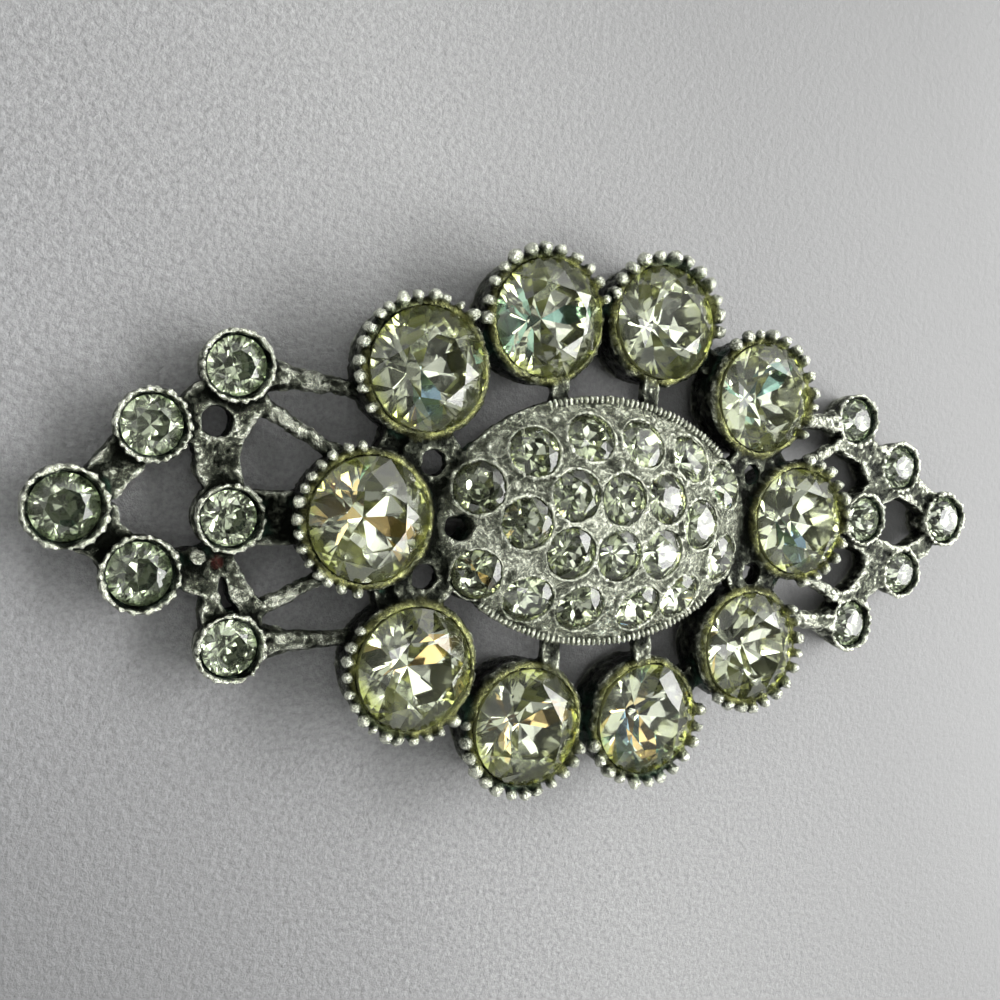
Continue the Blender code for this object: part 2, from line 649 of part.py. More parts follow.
def add_frame(group, solids, pockets, material):
    """The whole casting: all its forms joined, then all its pockets and holes cut."""
    for number in RING_PLACES:
        add_ring_cup(number, solids, pockets)
    for side, place in WING_PLACES:
        add_wing_cup(side, place, solids, pockets)
    for number in PAVE_PLACES:
        add_pave_pocket(number, pockets)
    add_plaque_ties(solids, pockets)
    add_necks(solids)
    add_plaque_dots(solids)
    add_wing_webs(solids, pockets)
    for side in ("left", "right"):
        add_wing_ties(side, solids)
    low = PLAQUE_EDGE_HEIGHT - PLAQUE_THICKNESS
    add_turned_dome("plaque_dome", solids, (0.0, 0.4, 0.7, 0.88, 1.0), 0, low)
    add_turned_dome("plaque_hollow", pockets, (0.0, 0.4, 0.7, 0.86), PLAQUE_THICKNESS,
                    low - BOOLEAN_REACH)
    start = ring_centre(1)
    end = ring_centre(2)
    shape = bmesh.new()
    middle = (start + end) / 2
    middle.z -= NECK_DROP + NECK_HEIGHT / 2
    bmesh.ops.create_cube(shape, size=NECK_WIDTH / 2, matrix=Matrix.Translation(middle))
    frame = add_object("frame", shape, group, material)
    add_boolean(frame, "join forms", "UNION", solids)
    add_boolean(frame, "cut pockets", "DIFFERENCE", pockets)
    tidy = frame.modifiers.new("merge flat faces", "DECIMATE")
    tidy.decimate_type = "DISSOLVE"
    tidy.angle_limit = FLAT_ANGLE
    return frame


def place_stone(name, mesh, group, matrix):
    stone = bpy.data.objects.new(name, mesh)
    group.objects.link(stone)
    stone.matrix_world = matrix
    return stone


def add_stones(group, large_glass, small_glass):
    """Every cut stone, each with its crown edge at its cup's middle."""
    large = make_brilliant("large_stone", large_glass, LARGE_STONE_RADIUS, LARGE_CROWN, LARGE_GIRDLE,
                           LARGE_PAVILION)
    for number in RING_PLACES:
        centre = ring_centre(number)
        turn = Matrix.Rotation(outward_angle(centre), 4, "Z")
        place_stone(f"ring_stone_{number:02d}", large, group, Matrix.Translation(centre) @ turn)
    wing = make_single_cut("wing_stone", small_glass, WING_STONE_RADIUS, WING_CROWN, WING_GIRDLE,
                           WING_PAVILION)
    for side, place in WING_PLACES:
        width = WING_PLACES[side, place][3]
        matrix = Matrix.Translation(wing_centre(side, place)) @ Matrix.Diagonal((width, width, 1, 1))
        place_stone(f"wing_stone_{side}_{place}", wing, group, matrix)
    small = make_single_cut("pave_stone", small_glass, PAVE_STONE_RADIUS, PAVE_CROWN, PAVE_GIRDLE,
                            PAVE_PAVILION)
    for number in PAVE_PLACES:
        place_stone(f"pave_stone_{number:02d}", small, group, pave_frame(number))


def add_back_pin(group, helpers, material):
    """Plain pin bar with a foot under the ring cup at each end of the plaque."""
    left = ring_centre(10)
    right = ring_centre(5)
    top = RING_UNDERSIDE - SEAT_GAP
    middle = top - PIN_FOOT_THICKNESS / 2
    shape = bmesh.new()
    length = right.x - left.x
    turn = Matrix.Rotation(math.pi / 2, 4, "Y")
    bmesh.ops.create_cone(shape, cap_ends=True, segments=12, radius1=PIN_RADIUS, radius2=PIN_RADIUS,
                          depth=length, matrix=Matrix.Translation((0, 0, middle)) @ turn)
    pin = add_object("back_pin", shape, group, material)
    for centre in (left, right):
        start = Vector((centre.x - PIN_FOOT_LENGTH / 2, 0, 0))
        end = Vector((centre.x + PIN_FOOT_LENGTH / 2, 0, 0))
        add_box("pin_foot", helpers, start, end, PIN_FOOT_WIDTH, top - PIN_FOOT_THICKNESS, top)
    add_boolean(pin, "join feet", "UNION", helpers)
    return pin


def main():
    clear_scene()
    parts = make_collection("rhinestone_brooch")
    solids = make_collection("frame_forms")
    pockets = make_collection("frame_pockets")
    feet = make_collection("pin_feet")
    metal = make_material("cast_metal", (0.42, 0.42, 0.40), 1.0, 0.38)
    large_glass = make_material("large_glass", (0.86, 0.90, 0.70), 0.0, 0.02, 0.9)
    small_glass = make_material("small_glass", (0.85, 0.88, 0.82), 0.0, 0.02, 0.9)
    steel = make_material("pin_steel", (0.45, 0.45, 0.46), 1.0, 0.3)
    add_frame(parts, solids, pockets, metal)
    add_stones(parts, large_glass, small_glass)
    add_back_pin(parts, feet, steel)


main()
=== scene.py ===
"""Looks of a rhinestone brooch: its fine cast surface, foiled cut stones, floor and light.

X runs along the brooch, Y across it, and Z up out of its face. Lengths are in metres.
"""
import json
import random
from math import atan2, copysign, cos, hypot, pi, radians, sin

import bmesh
import bpy
import numpy as np
from mathutils import Matrix, Vector
from mathutils.bvhtree import BVHTree

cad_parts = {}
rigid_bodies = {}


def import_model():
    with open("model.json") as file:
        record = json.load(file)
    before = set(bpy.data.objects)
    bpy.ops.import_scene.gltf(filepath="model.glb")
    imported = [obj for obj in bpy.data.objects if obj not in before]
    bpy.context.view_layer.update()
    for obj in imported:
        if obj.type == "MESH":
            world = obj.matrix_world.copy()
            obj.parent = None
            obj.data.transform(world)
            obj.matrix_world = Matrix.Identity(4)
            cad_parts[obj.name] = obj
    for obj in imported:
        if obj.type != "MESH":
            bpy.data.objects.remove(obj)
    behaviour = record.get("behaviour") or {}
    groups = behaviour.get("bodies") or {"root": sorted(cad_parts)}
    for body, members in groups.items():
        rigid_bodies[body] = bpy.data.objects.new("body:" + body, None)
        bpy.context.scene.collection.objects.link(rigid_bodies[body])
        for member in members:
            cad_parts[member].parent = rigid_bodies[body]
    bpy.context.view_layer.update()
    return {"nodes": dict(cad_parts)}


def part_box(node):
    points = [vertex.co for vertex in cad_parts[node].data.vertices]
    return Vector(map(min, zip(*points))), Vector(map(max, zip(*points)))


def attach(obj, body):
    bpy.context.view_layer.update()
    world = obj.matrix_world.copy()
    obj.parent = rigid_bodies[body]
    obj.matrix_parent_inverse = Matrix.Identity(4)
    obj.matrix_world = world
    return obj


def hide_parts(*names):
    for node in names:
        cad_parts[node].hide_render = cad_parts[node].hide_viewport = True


MM = 0.001

# Camera of the photograph
CAMERA_PLACE = Vector((-43.5, 5.42, 74.05)) * MM
CAMERA_RIGHT = Vector((0.89134, 0.04814, 0.45078))
CAMERA_UP = Vector((-0.01945, 0.99749, -0.06806))
CAMERA_BACK = Vector((-0.45293, 0.05189, 0.89004))
CAMERA_LENS = 41.4

# Large ring stones and cups
LARGE_POCKET_RADIUS = 4.13 * MM
LARGE_CUP_RADIUS = 4.70 * MM
LARGE_SEAT_RADIUS = 4.33 * MM
LARGE_POCKET_DEPTH = 3.2 * MM
LARGE_CUP_TAPER = 0.35 * MM
LARGE_RIM_DROP = 0.15 * MM
CUP_FLOOR = 0.6 * MM
RING_HEIGHT = 5.2 * MM
RING_DROP = 0.7 * MM
NECK_WIDTH = 1.8 * MM
NECK_HEIGHT = 1.7 * MM
NECK_DROP = 0.8 * MM
SHOULDER_DROP = 0.5 * MM
SHOULDER_OVERLAP = 0.02 * MM
SHOULDER_INSET = 0.03 * MM
SHOULDER_WIDTH = 0.2 * MM
LIP_INSET = 0.04 * MM
LIP_WALL = 0.15 * MM
LIP_DEPTH = 0.9 * MM
LIP_DROP = 0.12 * MM
LIP_WAVE = 0.08 * MM
BEAD_RADIUS = 0.52 * MM
BEAD_REACH = 4.74 * MM
BEAD_COUNT = 12
BEAD_ARC = radians(162)
BEAD_WANDER = 0.03

# Wing stones and cups
WING_POCKET_RADIUS = 1.88 * MM
WING_CUP_RADIUS = 2.24 * MM
WING_MOUTH_RADIUS = 2.02 * MM
WING_POCKET_DEPTH = 1.8 * MM
WING_RIM_RISE = 0.62 * MM
WING_HEIGHT = 2.4 * MM
WING_CUP_TAPER = 0.4 * MM
WING_WAIST_DROP = 0.3 * MM
WING_WAIST_INSET = 0.08 * MM
WING_SWELL = 0.25 * MM
WING_RIM_INSET = 0.04 * MM
WING_SEAT_RISE = 0.05 * MM
WING_MOUTH_FLARE = 0.1 * MM
FLANGE_INSET = 0.2 * MM
FLANGE_SPREAD = 0.05 * MM
WING_LEDGE_DEPTH = 0.5 * MM
WING_FLOOR_RADIUS = 1.0 * MM
WING_PITCH = 6.66 * MM
WING_STUB_LENGTH = 1.5 * MM
WING_STUB_WIDTH = 3.4 * MM
RIM_BEAD_COUNT = 22
RIM_BEAD_RADIUS = 0.23 * MM
RIM_BEAD_INSET = 0.12 * MM
RIM_BEAD_DROP = 0.08 * MM
RIM_BEAD_WANDER = 0.2
WEB_LOW = 0.8 * MM
WEB_HIGH = 2.5 * MM
WEB_HOLE_RADIUS = 1.0 * MM
STRUT_RADIUS = 0.6 * MM
STRUT_INSET = 0.17 * MM
STRUT_START_HEIGHT = 1.8 * MM
STRUT_END_HEIGHT = 2.5 * MM
STUB_RISE = 0.35 * MM
BOSS_RADIUS = 0.6 * MM
BOSS_RISE = 0.4 * MM
BOSS_DEPTH = 0.5 * MM

# Pave stones and the domed plaque
PAVE_RADIUS = 1.76 * MM
PAVE_POCKET_RADIUS = 1.79 * MM
PAVE_FLOOR_RADIUS = 0.7 * MM
PAVE_PITCH = 3.7 * MM
PAVE_POCKET_DEPTH = 1.45 * MM
PAVE_LEDGE_DEPTH = 0.35 * MM
COLLAR_RISE = 0.13 * MM
COLLAR_WALL = 0.13 * MM
COLLAR_FOOT = 0.6 * MM
COLLAR_DEPTH = 0.8 * MM
PLAQUE_DOT_RADIUS = 0.36 * MM
PLAQUE_DOT_RISE = 0.1 * MM
PLAQUE_HOLLOW_SHARE = 0.86
PLAQUE_THICKNESS = 2.05 * MM
PLAQUE_BORDER = 0.5 * MM
PLAQUE_BORDER_THICKNESS = 0.8 * MM
PLAQUE_HALF_LENGTH = 3.43 * PAVE_PITCH
PLAQUE_HALF_WIDTH = 2.39 * PAVE_PITCH
DOME_HALF_LENGTH = PLAQUE_HALF_LENGTH - PLAQUE_BORDER
DOME_HALF_WIDTH = PLAQUE_HALF_WIDTH - PLAQUE_BORDER
DOME_RISE = 2.85 * MM
DOME_ROUNDNESS = 0.8
PLAQUE_EDGE_HEIGHT = 4.65 * MM
END_GAP = 0.35 * MM
END_TIE_WIDTH = 3.4 * MM
END_TIE_OVERLAP = 0.37 * MM
END_HOLE_RADIUS = 0.88 * MM
END_HOLE_SHIFT = 0.5 * MM
CORNER_HOLE_RADIUS = 0.84 * MM
POST_LENGTH = 0.85 * MM
POST_WIDTH = 1.3 * MM
TIE_THICKNESS = 0.9 * MM
CORNER_PLATE_RADIUS = 2.3 * MM
RING_HALF_LENGTH = PLAQUE_HALF_LENGTH + END_GAP + LARGE_CUP_RADIUS
RING_HALF_WIDTH = PLAQUE_HALF_WIDTH + POST_LENGTH + LARGE_CUP_RADIUS
WING_ROOT = RING_HALF_LENGTH + LARGE_CUP_RADIUS + WING_STUB_LENGTH + WING_CUP_RADIUS

# Sides of the round forms
CUP_SIDES = 64
WING_SIDES = 48
SEAT_SIDES = 40
HOLE_SIDES = 32
BOSS_SIDES = 20
ROD_SIDES = 6
LIP_SIDES = 72
OUTLINE_SIDES = 128
DOME_SIDES = 96
DOME_RINGS = 14

# Cuts of the stones: radius, and heights of the crown, girdle and pavilion
LARGE_CUT = (4.08 * MM, 1.25 * MM, 0.5 * MM, 2.6 * MM)
WING_CUT = (1.82 * MM, 0.7 * MM, 0.3 * MM, 1.45 * MM)
PAVE_CUT = (PAVE_RADIUS, 0.5 * MM, 0.2 * MM, 1.15 * MM)
TABLE_SHARE = 0.54
STAR_SHARE = 0.77
LOWER_SHARE = 0.45
GIRDLE_SIDES = 32
TABLE_WANDER = 0.07
STAR_WANDER = 0.03
CUT_WANDER = 0.03
SEAT_SLACK = 3.0
PAVE_SLACK = 1.5

# Fine surface of the casting
VOXEL = 0.12 * MM
CUT_REACH = 1.5 * MM
CASTING_FACES = 190000
SMOOTHING = 0.5
LUMP_SIZE = 1.0 * MM
LUMP_DEPTH = 0.34 * MM
GRAIN_SIZE = 0.26 * MM
GRAIN_DEPTH = 0.20 * MM
RIDGE_SPAN = 0.3 * MM
RIDGE_PASSES = 4
GRIME_SPAN = 0.3 * MM
GRIME_INSET = 0.05 * MM
GRIME_DEPTH = 0.6 * MM
OPENNESS_RAYS = 14
OPENNESS_START = 0.06 * MM
OPENNESS_REACH = 3.0 * MM

# Edges of the ring's and the plaque's metal: reach and width of the fade, as shares of the oval
RING_EDGE = (1.35, 0.1)
FACE_EDGE = (1.06, 0.06)

# Red-brown stain on the left web
STAIN_PLACE = (-0.0267, -0.0030, 0.0022)
STAIN_RADIUS = 0.9 * MM
STAIN_WANDER = 0.6 * MM
STAIN_TONE = (0.17, 0.045, 0.04)

# Tones of the metal by its wear and painted shade, from recesses black with tarnish and painted shade to
# rubbed edges, and what settles on it
METAL_TONES = ((0.12, (0.007, 0.008, 0.006)), (0.38, (0.036, 0.040, 0.030)),
               (0.62, (0.155, 0.165, 0.125)), (0.98, (0.76, 0.78, 0.66)))
VERDIGRIS = (0.06, 0.13, 0.09)
WING_GRIME = (0.07, 0.14, 0.10)
RING_GRIME = (0.66, 0.68, 0.27)

# Colours of the glass, of its girdles, and of the foil behind it
GLASS = {"large_glass": (0.965, 0.985, 0.90), "small_glass": (0.97, 0.985, 0.92)}
GIRDLES = {"yellowed_girdle": (0.76, 0.78, 0.40), "small_girdle": (0.66, 0.72, 0.58)}
FOILS = {
    # name: (colour, colour at the rim, where the rim begins)
    "large_foil": ((0.96, 0.98, 0.87), (0.88, 0.92, 0.42), 0.62),
    "wing_foil": ((0.93, 0.97, 0.86), (0.62, 0.72, 0.50), 0.66),
    "pave_foil": ((0.86, 0.90, 0.76), (0.70, 0.75, 0.46), 0.62),
}
FOIL_TEAL = (0.40, 0.72, 0.66)
# Amber and blue facets of the foil are painted flashes of dispersed light, the fire of cut glass
PAINTED_FIRE_AMBER = (0.95, 0.66, 0.24)
PAINTED_FIRE_BLUE = (0.48, 0.72, 0.98)
FRESHEST_AND_LIGHTEST = 0.97

# Tones of the room by height, and of its panels
ROOM_TONES = ((0.0, (0.45, 0.459, 0.45)), (0.2, (0.62, 0.6324, 0.62)), (0.5, (0.58, 0.5916, 0.58)),
              (0.75, (0.30, 0.306, 0.30)))
PANEL_TONES = ((0.45, 0.06), (0.5, 0.8), (0.55, 3.2))

# Softboxes: place, width and height in metres, and power in watts
SOFTBOXES = {
    "key": ((1.45, -0.05, 0.85), 1.6, 0.9, 41),
    "second_key": ((1.15, 0.85, 0.85), 0.8, 0.7, 6),
    "back_strip": ((-0.06, 0.17, 0.42), 0.12, 0.025, 0.07),
    "left_strip": ((-0.17, -0.03, 0.42), 0.025, 0.10, 0.05),
    "front_strip": ((0.06, -0.15, 0.42), 0.10, 0.025, 0.06),
}

# Size of the floor, and its patch of painted shadow
FLOOR_REACH = 1.5
PAINTED_SHADOW_PLACE = (-0.052, -0.047, 0)
PAINTED_SHADOW_RADIUS = 50 * MM

# Ribs on two stretches of the plaque's border
MILGRAIN_ARCS = (
    # (first degrees, last degrees, ribs)
    (36, 112, 40),
    (222, 318, 50),
)
RIB_SIZE = (0.32 * MM, 0.155 * MM, 0.2 * MM)
RIB_INSET = 0.22 * MM
RIB_RISE = 0.06 * MM

# Measures that the metal's material reads, with their values on the ribs
METAL_MEASURES = {"openness": 1.0, "ridge": 1.0, "grime": 0.0, "ring": 1.0, "face": 1.0}

# Places of the large stones from 1 on, as shares of the ring's half length and half width
RING_PLACES = dict(enumerate((
    (-0.783, 0.684), (-0.279, 0.969), (0.268, 1.008), (0.783, 0.667), (1.000, 0.017),
    (0.783, -0.656), (0.279, -1.014), (-0.285, -1.007), (-0.783, -0.691), (-0.994, -0.003),
), 1))

# How fresh and how bright the foil is behind some large stones, and behind the small ones: 0 for the most
# aged and darkest. Its dulled facets are partly aged foil and partly painted facet shading.
RING_FRESHNESS_AND_LIGHT = {2: 0.25, 3: 0.15, 4: 0.7, 5: 0.55, 8: 0.2}
WING_FRESHNESS_AND_LIGHT = 0.25
PAVE_FRESHNESS_AND_LIGHT = 0.08

# Coloured facets behind some large stones: the way each lies from the middle, and its foil. The amber and
# blue ones are painted flashes of dispersed light.
RING_ACCENTS = {
    # number: ((degrees, foil), ...)
    1: ((-60, "blue"),),
    2: ((10, "teal"),),
    4: ((40, "teal"),),
    5: ((-85, "blue"),),
    7: ((-70, "amber"), (-110, "blue")),
    8: ((20, "amber"),),
    10: ((-25, "amber"),),
}
ACCENT_TONES = {"teal": 0.02, "amber": 0.07, "blue": 0.99}

# Width of the knobs round some large cups, as a share of the usual one
KNOB_SHARES = {1: 0.86, 8: 0.92, 9: 0.86, 10: 0.8}

# Places of the wing stones, as shares of the wing pitch, from the stone next to the ring,
# and each cup's width as a share of the usual one
WING_PLACES = {
    # side and place: (outwards, across, rise, width)
    ("left", "tip"): (1.433, 0.045, 0.06, 1.12),
    ("left", "upper"): (0.70, 0.80, 0.0, 1.02),
    ("left", "lower"): (0.77, -0.56, 0.0, 1.08),
    ("left", "top"): (-0.055, 1.39, 0.0, 1.03),
    ("left", "bottom"): (-0.075, -1.275, 0.0, 0.98),
    ("left", "inner"): (0.0, -0.03, 0.12, 0.96),
    ("right", "tip"): (1.50, 0.06, 0.0, 1.04),
    ("right", "upper"): (0.71, 0.71, -0.04, 0.96),
    ("right", "lower"): (0.835, -0.64, -0.04, 0.93),
    ("right", "top"): (-0.06, 1.27, -0.04, 0.96),
    ("right", "bottom"): (0.025, -1.275, -0.04, 1.0),
    ("right", "inner"): (0.0, 0.055, 0.12, 0.96),
}

# Rise of the wing cups' rims on each side, as a share of the usual one
WING_RIM_SHARES = {"left": 1.0, "right": 0.6}

# Places of the pave stones from 1 on, as shares of the pave pitch
PAVE_PLACES = dict(enumerate((
    (-2.75, 0.60), (-1.73, 1.28), (-0.58, 1.59), (0.56, 1.53), (1.74, 1.28),
    (2.70, 0.79), (2.70, -0.69), (1.67, -1.43), (0.665, -1.62), (-0.63, -1.61),
    (-1.70, -1.42), (-2.69, -0.98), (-1.905, -0.01), (-0.98, 0.52), (0.02, 0.47),
    (1.02, 0.50), (1.925, 0.005), (0.98, -0.57), (-0.02, -0.585), (-1.03, -0.545),
), 1))

# Small raised dots between the pave stones, as shares of the pave pitch
PLAQUE_DOTS = ((-2.53, 1.34), (-1.25, 1.89), (-2.14, 0.68), (0.07, 2.08), (-0.04, 1.11))

# Pierced corners beside the plaque's ends, as shares of the ring's half length and half width
CORNER_HOLES = (
    # (along, across, width of the hole as a share of the usual one)
    (-0.739, 0.260, 1.06),
    (-0.755, -0.265, 1.06),
    (0.7525, 0.2605, 0.94),
    (0.7835, -0.2675, 1.0),
)

# Posts between the plaque and the ring: a large cup and the post's place as a share of its own
POSTS = ((2, 0.75), (3, 0.80), (7, 0.87), (8, 0.68))

# Struts of one wing, with directions for the left wing
STRUTS = (
    # (wing cup, leaving degrees, left ring cup, right ring cup, meeting degrees, two widths)
    ("top", -10, 1, 4, 205, 1.33, 0.92),
    ("top", -62, 10, 5, 105, 1.03, 0.87),
    ("bottom", 66, 10, 5, -112, 1.03, 0.83),
    ("bottom", 6, 9, 6, 150, 1.5, 0.83),
)

# Swelling ends of a strut: share of its length, and widths at its end and along, as shares
STRUT_ROOT = (0.35, 1.5, 0.7)
STRUT_FOOT = (0.3, 1.7, 0.8)

# Plates of the webs: a side, and corners as (outwards, across) in shares of the wing pitch
WEB_PLATES = (
    # from the tip to the upper cup
    ("left", (
        (1.41, 0.24), (1.25, 0.41), (1.14, 0.54), (1.02, 0.68), (0.80, 0.69), (0.74, 0.40), (0.87, 0.28),
        (0.96, 0.15), (1.11, 0.05),
    )),
    # from the tip to the lower cup
    ("left", (
        (1.11, 0.09), (0.97, 0.06), (0.96, -0.10), (0.86, -0.17), (0.78, -0.38), (0.96, -0.54),
        (1.14, -0.50), (1.17, -0.42), (1.35, -0.35), (1.40, -0.15),
    )),
    # from the upper and top cups to the inner cup
    ("left", (
        (0.51, 0.99), (0.39, 1.13), (0.30, 1.21), (0.20, 1.23), (-0.06, 1.16), (-0.30, 1.19), (-0.42, 1.05),
        (-0.25, 0.87), (-0.15, 0.68), (-0.11, 0.48), (-0.18, 0.24), (0.18, 0.23), (0.30, 0.39),
        (0.29, 0.54), (0.33, 0.65), (0.53, 0.69),
    )),
    # from the inner and lower cups to the bottom cup
    ("left", (
        (0.57, -0.33), (0.38, -0.35), (0.23, -0.32), (0.12, -0.24), (-0.09, -0.27), (-0.11, -0.43),
        (-0.23, -0.66), (-0.39, -0.87), (-0.37, -1.08), (-0.09, -1.14), (0.17, -1.14), (0.21, -0.93),
        (0.18, -0.80), (0.29, -0.75), (0.41, -0.69), (0.60, -0.60),
    )),
    # from the tip round the upper and top cups to the inner cup
    ("right", (
        (-0.30, 1.11), (-0.37, 0.90), (-0.16, 0.81), (0.04, 0.72), (0.18, 0.50), (0.06, 0.36), (0.03, 0.21),
        (0.27, 0.15), (0.47, 0.25), (0.72, 0.33), (0.92, 0.27), (1.05, 0.20), (1.22, 0.09), (1.35, 0.27),
        (1.34, 0.42), (1.20, 0.47), (1.08, 0.56), (0.92, 0.78), (0.63, 0.84), (0.44, 0.98), (0.32, 0.96),
        (0.20, 1.04), (0.12, 1.23), (-0.10, 1.20),
    )),
    # from the tip round the lower and bottom cups to the inner cup
    ("right", (
        (0.03, -0.08), (-0.09, -0.21), (-0.01, -0.32), (0.18, -0.39), (0.21, -0.54), (0.12, -0.69),
        (-0.04, -0.83), (-0.22, -0.89), (-0.19, -1.14), (0.18, -1.17), (0.26, -0.96), (0.42, -0.86),
        (0.65, -0.78), (0.95, -0.63), (1.11, -0.48), (1.26, -0.42), (1.41, -0.24), (1.26, -0.09),
        (1.08, -0.21), (0.92, -0.29), (0.72, -0.30), (0.53, -0.23), (0.32, -0.18),
    )),
)

# Slit, hole and boss of the left wing's web, in the same shares
WEB_SLIT = ((0.05, -0.60), (0.05, -0.72), (-0.01, -0.92), (-0.16, -0.92), (-0.07, -0.80), (0.00, -0.59))
WEB_EYE = (0.11, 0.865)
WEB_BOSS = (0.26, -0.40)


def ring_height(across):
    return RING_HEIGHT - RING_DROP * (across / RING_HALF_WIDTH) ** 2


def ring_centre(number):
    along, across = RING_PLACES[number]
    y = across * RING_HALF_WIDTH
    return Vector((along * RING_HALF_LENGTH, y, ring_height(y)))


def wing_point(side, outwards, across, height=0.0):
    """Point of a wing, from its place in shares of the wing pitch."""
    sign = -1 if side == "left" else 1
    return Vector((sign * (WING_ROOT + outwards * WING_PITCH), across * WING_PITCH, height))


def wing_centre(side, place):
    outwards, across, rise, _ = WING_PLACES[side, place]
    return wing_point(side, outwards, across, WING_HEIGHT + rise * WING_PITCH)


def dome_height(x, y):
    reach = (x / DOME_HALF_LENGTH) ** 2 + (y / DOME_HALF_WIDTH) ** 2
    return PLAQUE_EDGE_HEIGHT + DOME_RISE * max(0.0, 1 - reach) ** DOME_ROUNDNESS


def dome_normal(x, y):
    step = PAVE_RADIUS
    slope_x = (dome_height(x + step, y) - dome_height(x - step, y)) / (2 * step)
    slope_y = (dome_height(x, y + step) - dome_height(x, y - step)) / (2 * step)
    return Vector((-slope_x, -slope_y, 1)).normalized()


def dome_point(along, across, rise=0.0):
    """Point on the dome, from its place in shares of the pave pitch."""
    x = along * PAVE_PITCH
    y = across * PAVE_PITCH
    return Vector((x, y, dome_height(x, y) + rise))


def pave_frame(number):
    spot = dome_point(*PAVE_PLACES[number])
    turn = dome_normal(spot.x, spot.y).to_track_quat("Z", "Y").to_matrix().to_4x4()
    return Matrix.Translation(spot) @ turn


def outward_angle(centre):
    return atan2(centre.y / RING_HALF_WIDTH ** 2, centre.x / RING_HALF_LENGTH ** 2)


def turns(count, phase=0.0):
    """Angles of even steps round a full turn."""
    return [2 * pi * (step + phase) / count for step in range(count)]


def on_oval(angle, half_length, half_width, height=0.0):
    return Vector((half_length * cos(angle), half_width * sin(angle), height))


def circle_points(radius, height, count, phase=0.0):
    return [on_oval(angle, radius, radius, height) for angle in turns(count, phase)]


def remove_all(objects):
    for item in list(objects):
        bpy.data.objects.remove(item)


def link_object(name, data):
    item = bpy.data.objects.new(name, data)
    bpy.context.scene.collection.objects.link(item)
    return item


def make_collection(name):
    group = bpy.data.collections.new(name)
    bpy.context.scene.collection.children.link(group)
    return group


def add_form(name, shape, group):
    """Closed form that the casting is joined from or cut with."""
    mesh = bpy.data.meshes.new(name)
    bmesh.ops.recalc_face_normals(shape, faces=shape.faces)
    shape.to_mesh(mesh)
    shape.free()
    item = bpy.data.objects.new(name, mesh)
    group.objects.link(item)
    return item


def add_cone(name, group, matrix, low, high, low_radius, high_radius, sides):
    shape = bmesh.new()
    middle = Matrix.Translation((0, 0, (low + high) / 2))
    bmesh.ops.create_cone(shape, cap_ends=True, segments=sides, radius1=low_radius,
                          radius2=high_radius, depth=high - low, matrix=matrix @ middle)
    add_form(name, shape, group)


def add_drum(name, group, spot, low, high, radius, sides=HOLE_SIDES):
    add_cone(name, group, Matrix.Translation(spot), low, high, radius, radius, sides)


def add_box(name, group, start, end, width, low, high):
    along = (end - start).to_2d()
    turn = Matrix.Rotation(atan2(along.y, along.x), 4, "Z")
    middle = (start + end) / 2
    middle.z = (low + high) / 2
    size = Matrix.Diagonal((along.length, width, high - low, 1))
    shape = bmesh.new()
    bmesh.ops.create_cube(shape, size=1, matrix=Matrix.Translation(middle) @ turn @ size)
    add_form(name, shape, group)


def add_rod(name, group, start, end, start_radius, end_radius):
    axis = end - start
    turn = axis.to_track_quat("Z", "X").to_matrix().to_4x4()
    add_cone(name, group, Matrix.Translation((start + end) / 2) @ turn, -axis.length / 2,
             axis.length / 2, start_radius, end_radius, ROD_SIDES)


def join_loops(shape, loops):
    """Faces between each loop of corners and the next."""
    for first, second in zip(loops, loops[1:]):
        for step, corner in enumerate(first):
            after = (step + 1) % len(first)
            shape.faces.new((corner, first[after], second[after], second[step]))


def add_turned(name, group, matrix, profile, sides):
    """Round form through rings of given heights and radii, from the lowest up."""
    shape = bmesh.new()
    loops = [[shape.verts.new(matrix @ point) for point in circle_points(radius, height, sides)]
             for height, radius in profile]
    join_loops(shape, loops)
    shape.faces.new(loops[0][::-1])
    shape.faces.new(loops[-1])
    add_form(name, shape, group)


def add_lip(group, matrix, inner, outer, low, high, chance):
    """Thin band round a seat, with an uneven top edge as a hand-worked bezel has."""
    phases = [chance.uniform(0, 2 * pi) for _ in range(3)]
    shape = bmesh.new()
    rings = []
    for angle in turns(LIP_SIDES):
        lift = LIP_WAVE * (sin(3 * angle + phases[0]) + 0.6 * sin(8 * angle + phases[1]))
        shift = 0.3 * LIP_WAVE * sin(5 * angle + phases[2])
        corners = ((inner + shift, low), (outer + shift, low), (outer + shift, high + lift),
                   (inner + shift, high + lift))
        rings.append([shape.verts.new(matrix @ on_oval(angle, radius, radius, height))
                      for radius, height in corners])
    join_loops(shape, rings + rings[:1])
    add_form("lip", shape, group)


def add_ball(shape, radius, matrix):
    bmesh.ops.create_uvsphere(shape, u_segments=14, v_segments=9, radius=radius, matrix=matrix)


def add_knobs(name, group, centre, reach, angles, radius, height, chance):
    """Uneven round knobs round a cup's rim."""
    shape = bmesh.new()
    for angle in angles:
        size = radius * chance.uniform(0.82, 1.08)
        spot = centre + on_oval(angle, reach, reach)
        spot.z += height + chance.uniform(-0.1, 0.1) * radius
        stretch = Matrix.Diagonal((1.0, chance.uniform(0.86, 1.0), chance.uniform(1.1, 1.35), 1))
        matrix = Matrix.Translation(spot) @ Matrix.Rotation(angle, 4, "Z") @ stretch
        add_ball(shape, size, matrix)
    add_form(name, shape, group)


def add_plate(name, group, outline, low, high):
    shape = bmesh.new()
    face = shape.faces.new([shape.verts.new((point.x, point.y, low)) for point in outline])
    lifted = bmesh.ops.extrude_face_region(shape, geom=[face])
    upper = [item for item in lifted["geom"] if isinstance(item, bmesh.types.BMVert)]
    bmesh.ops.translate(shape, verts=upper, vec=(0, 0, high - low))
    add_form(name, shape, group)


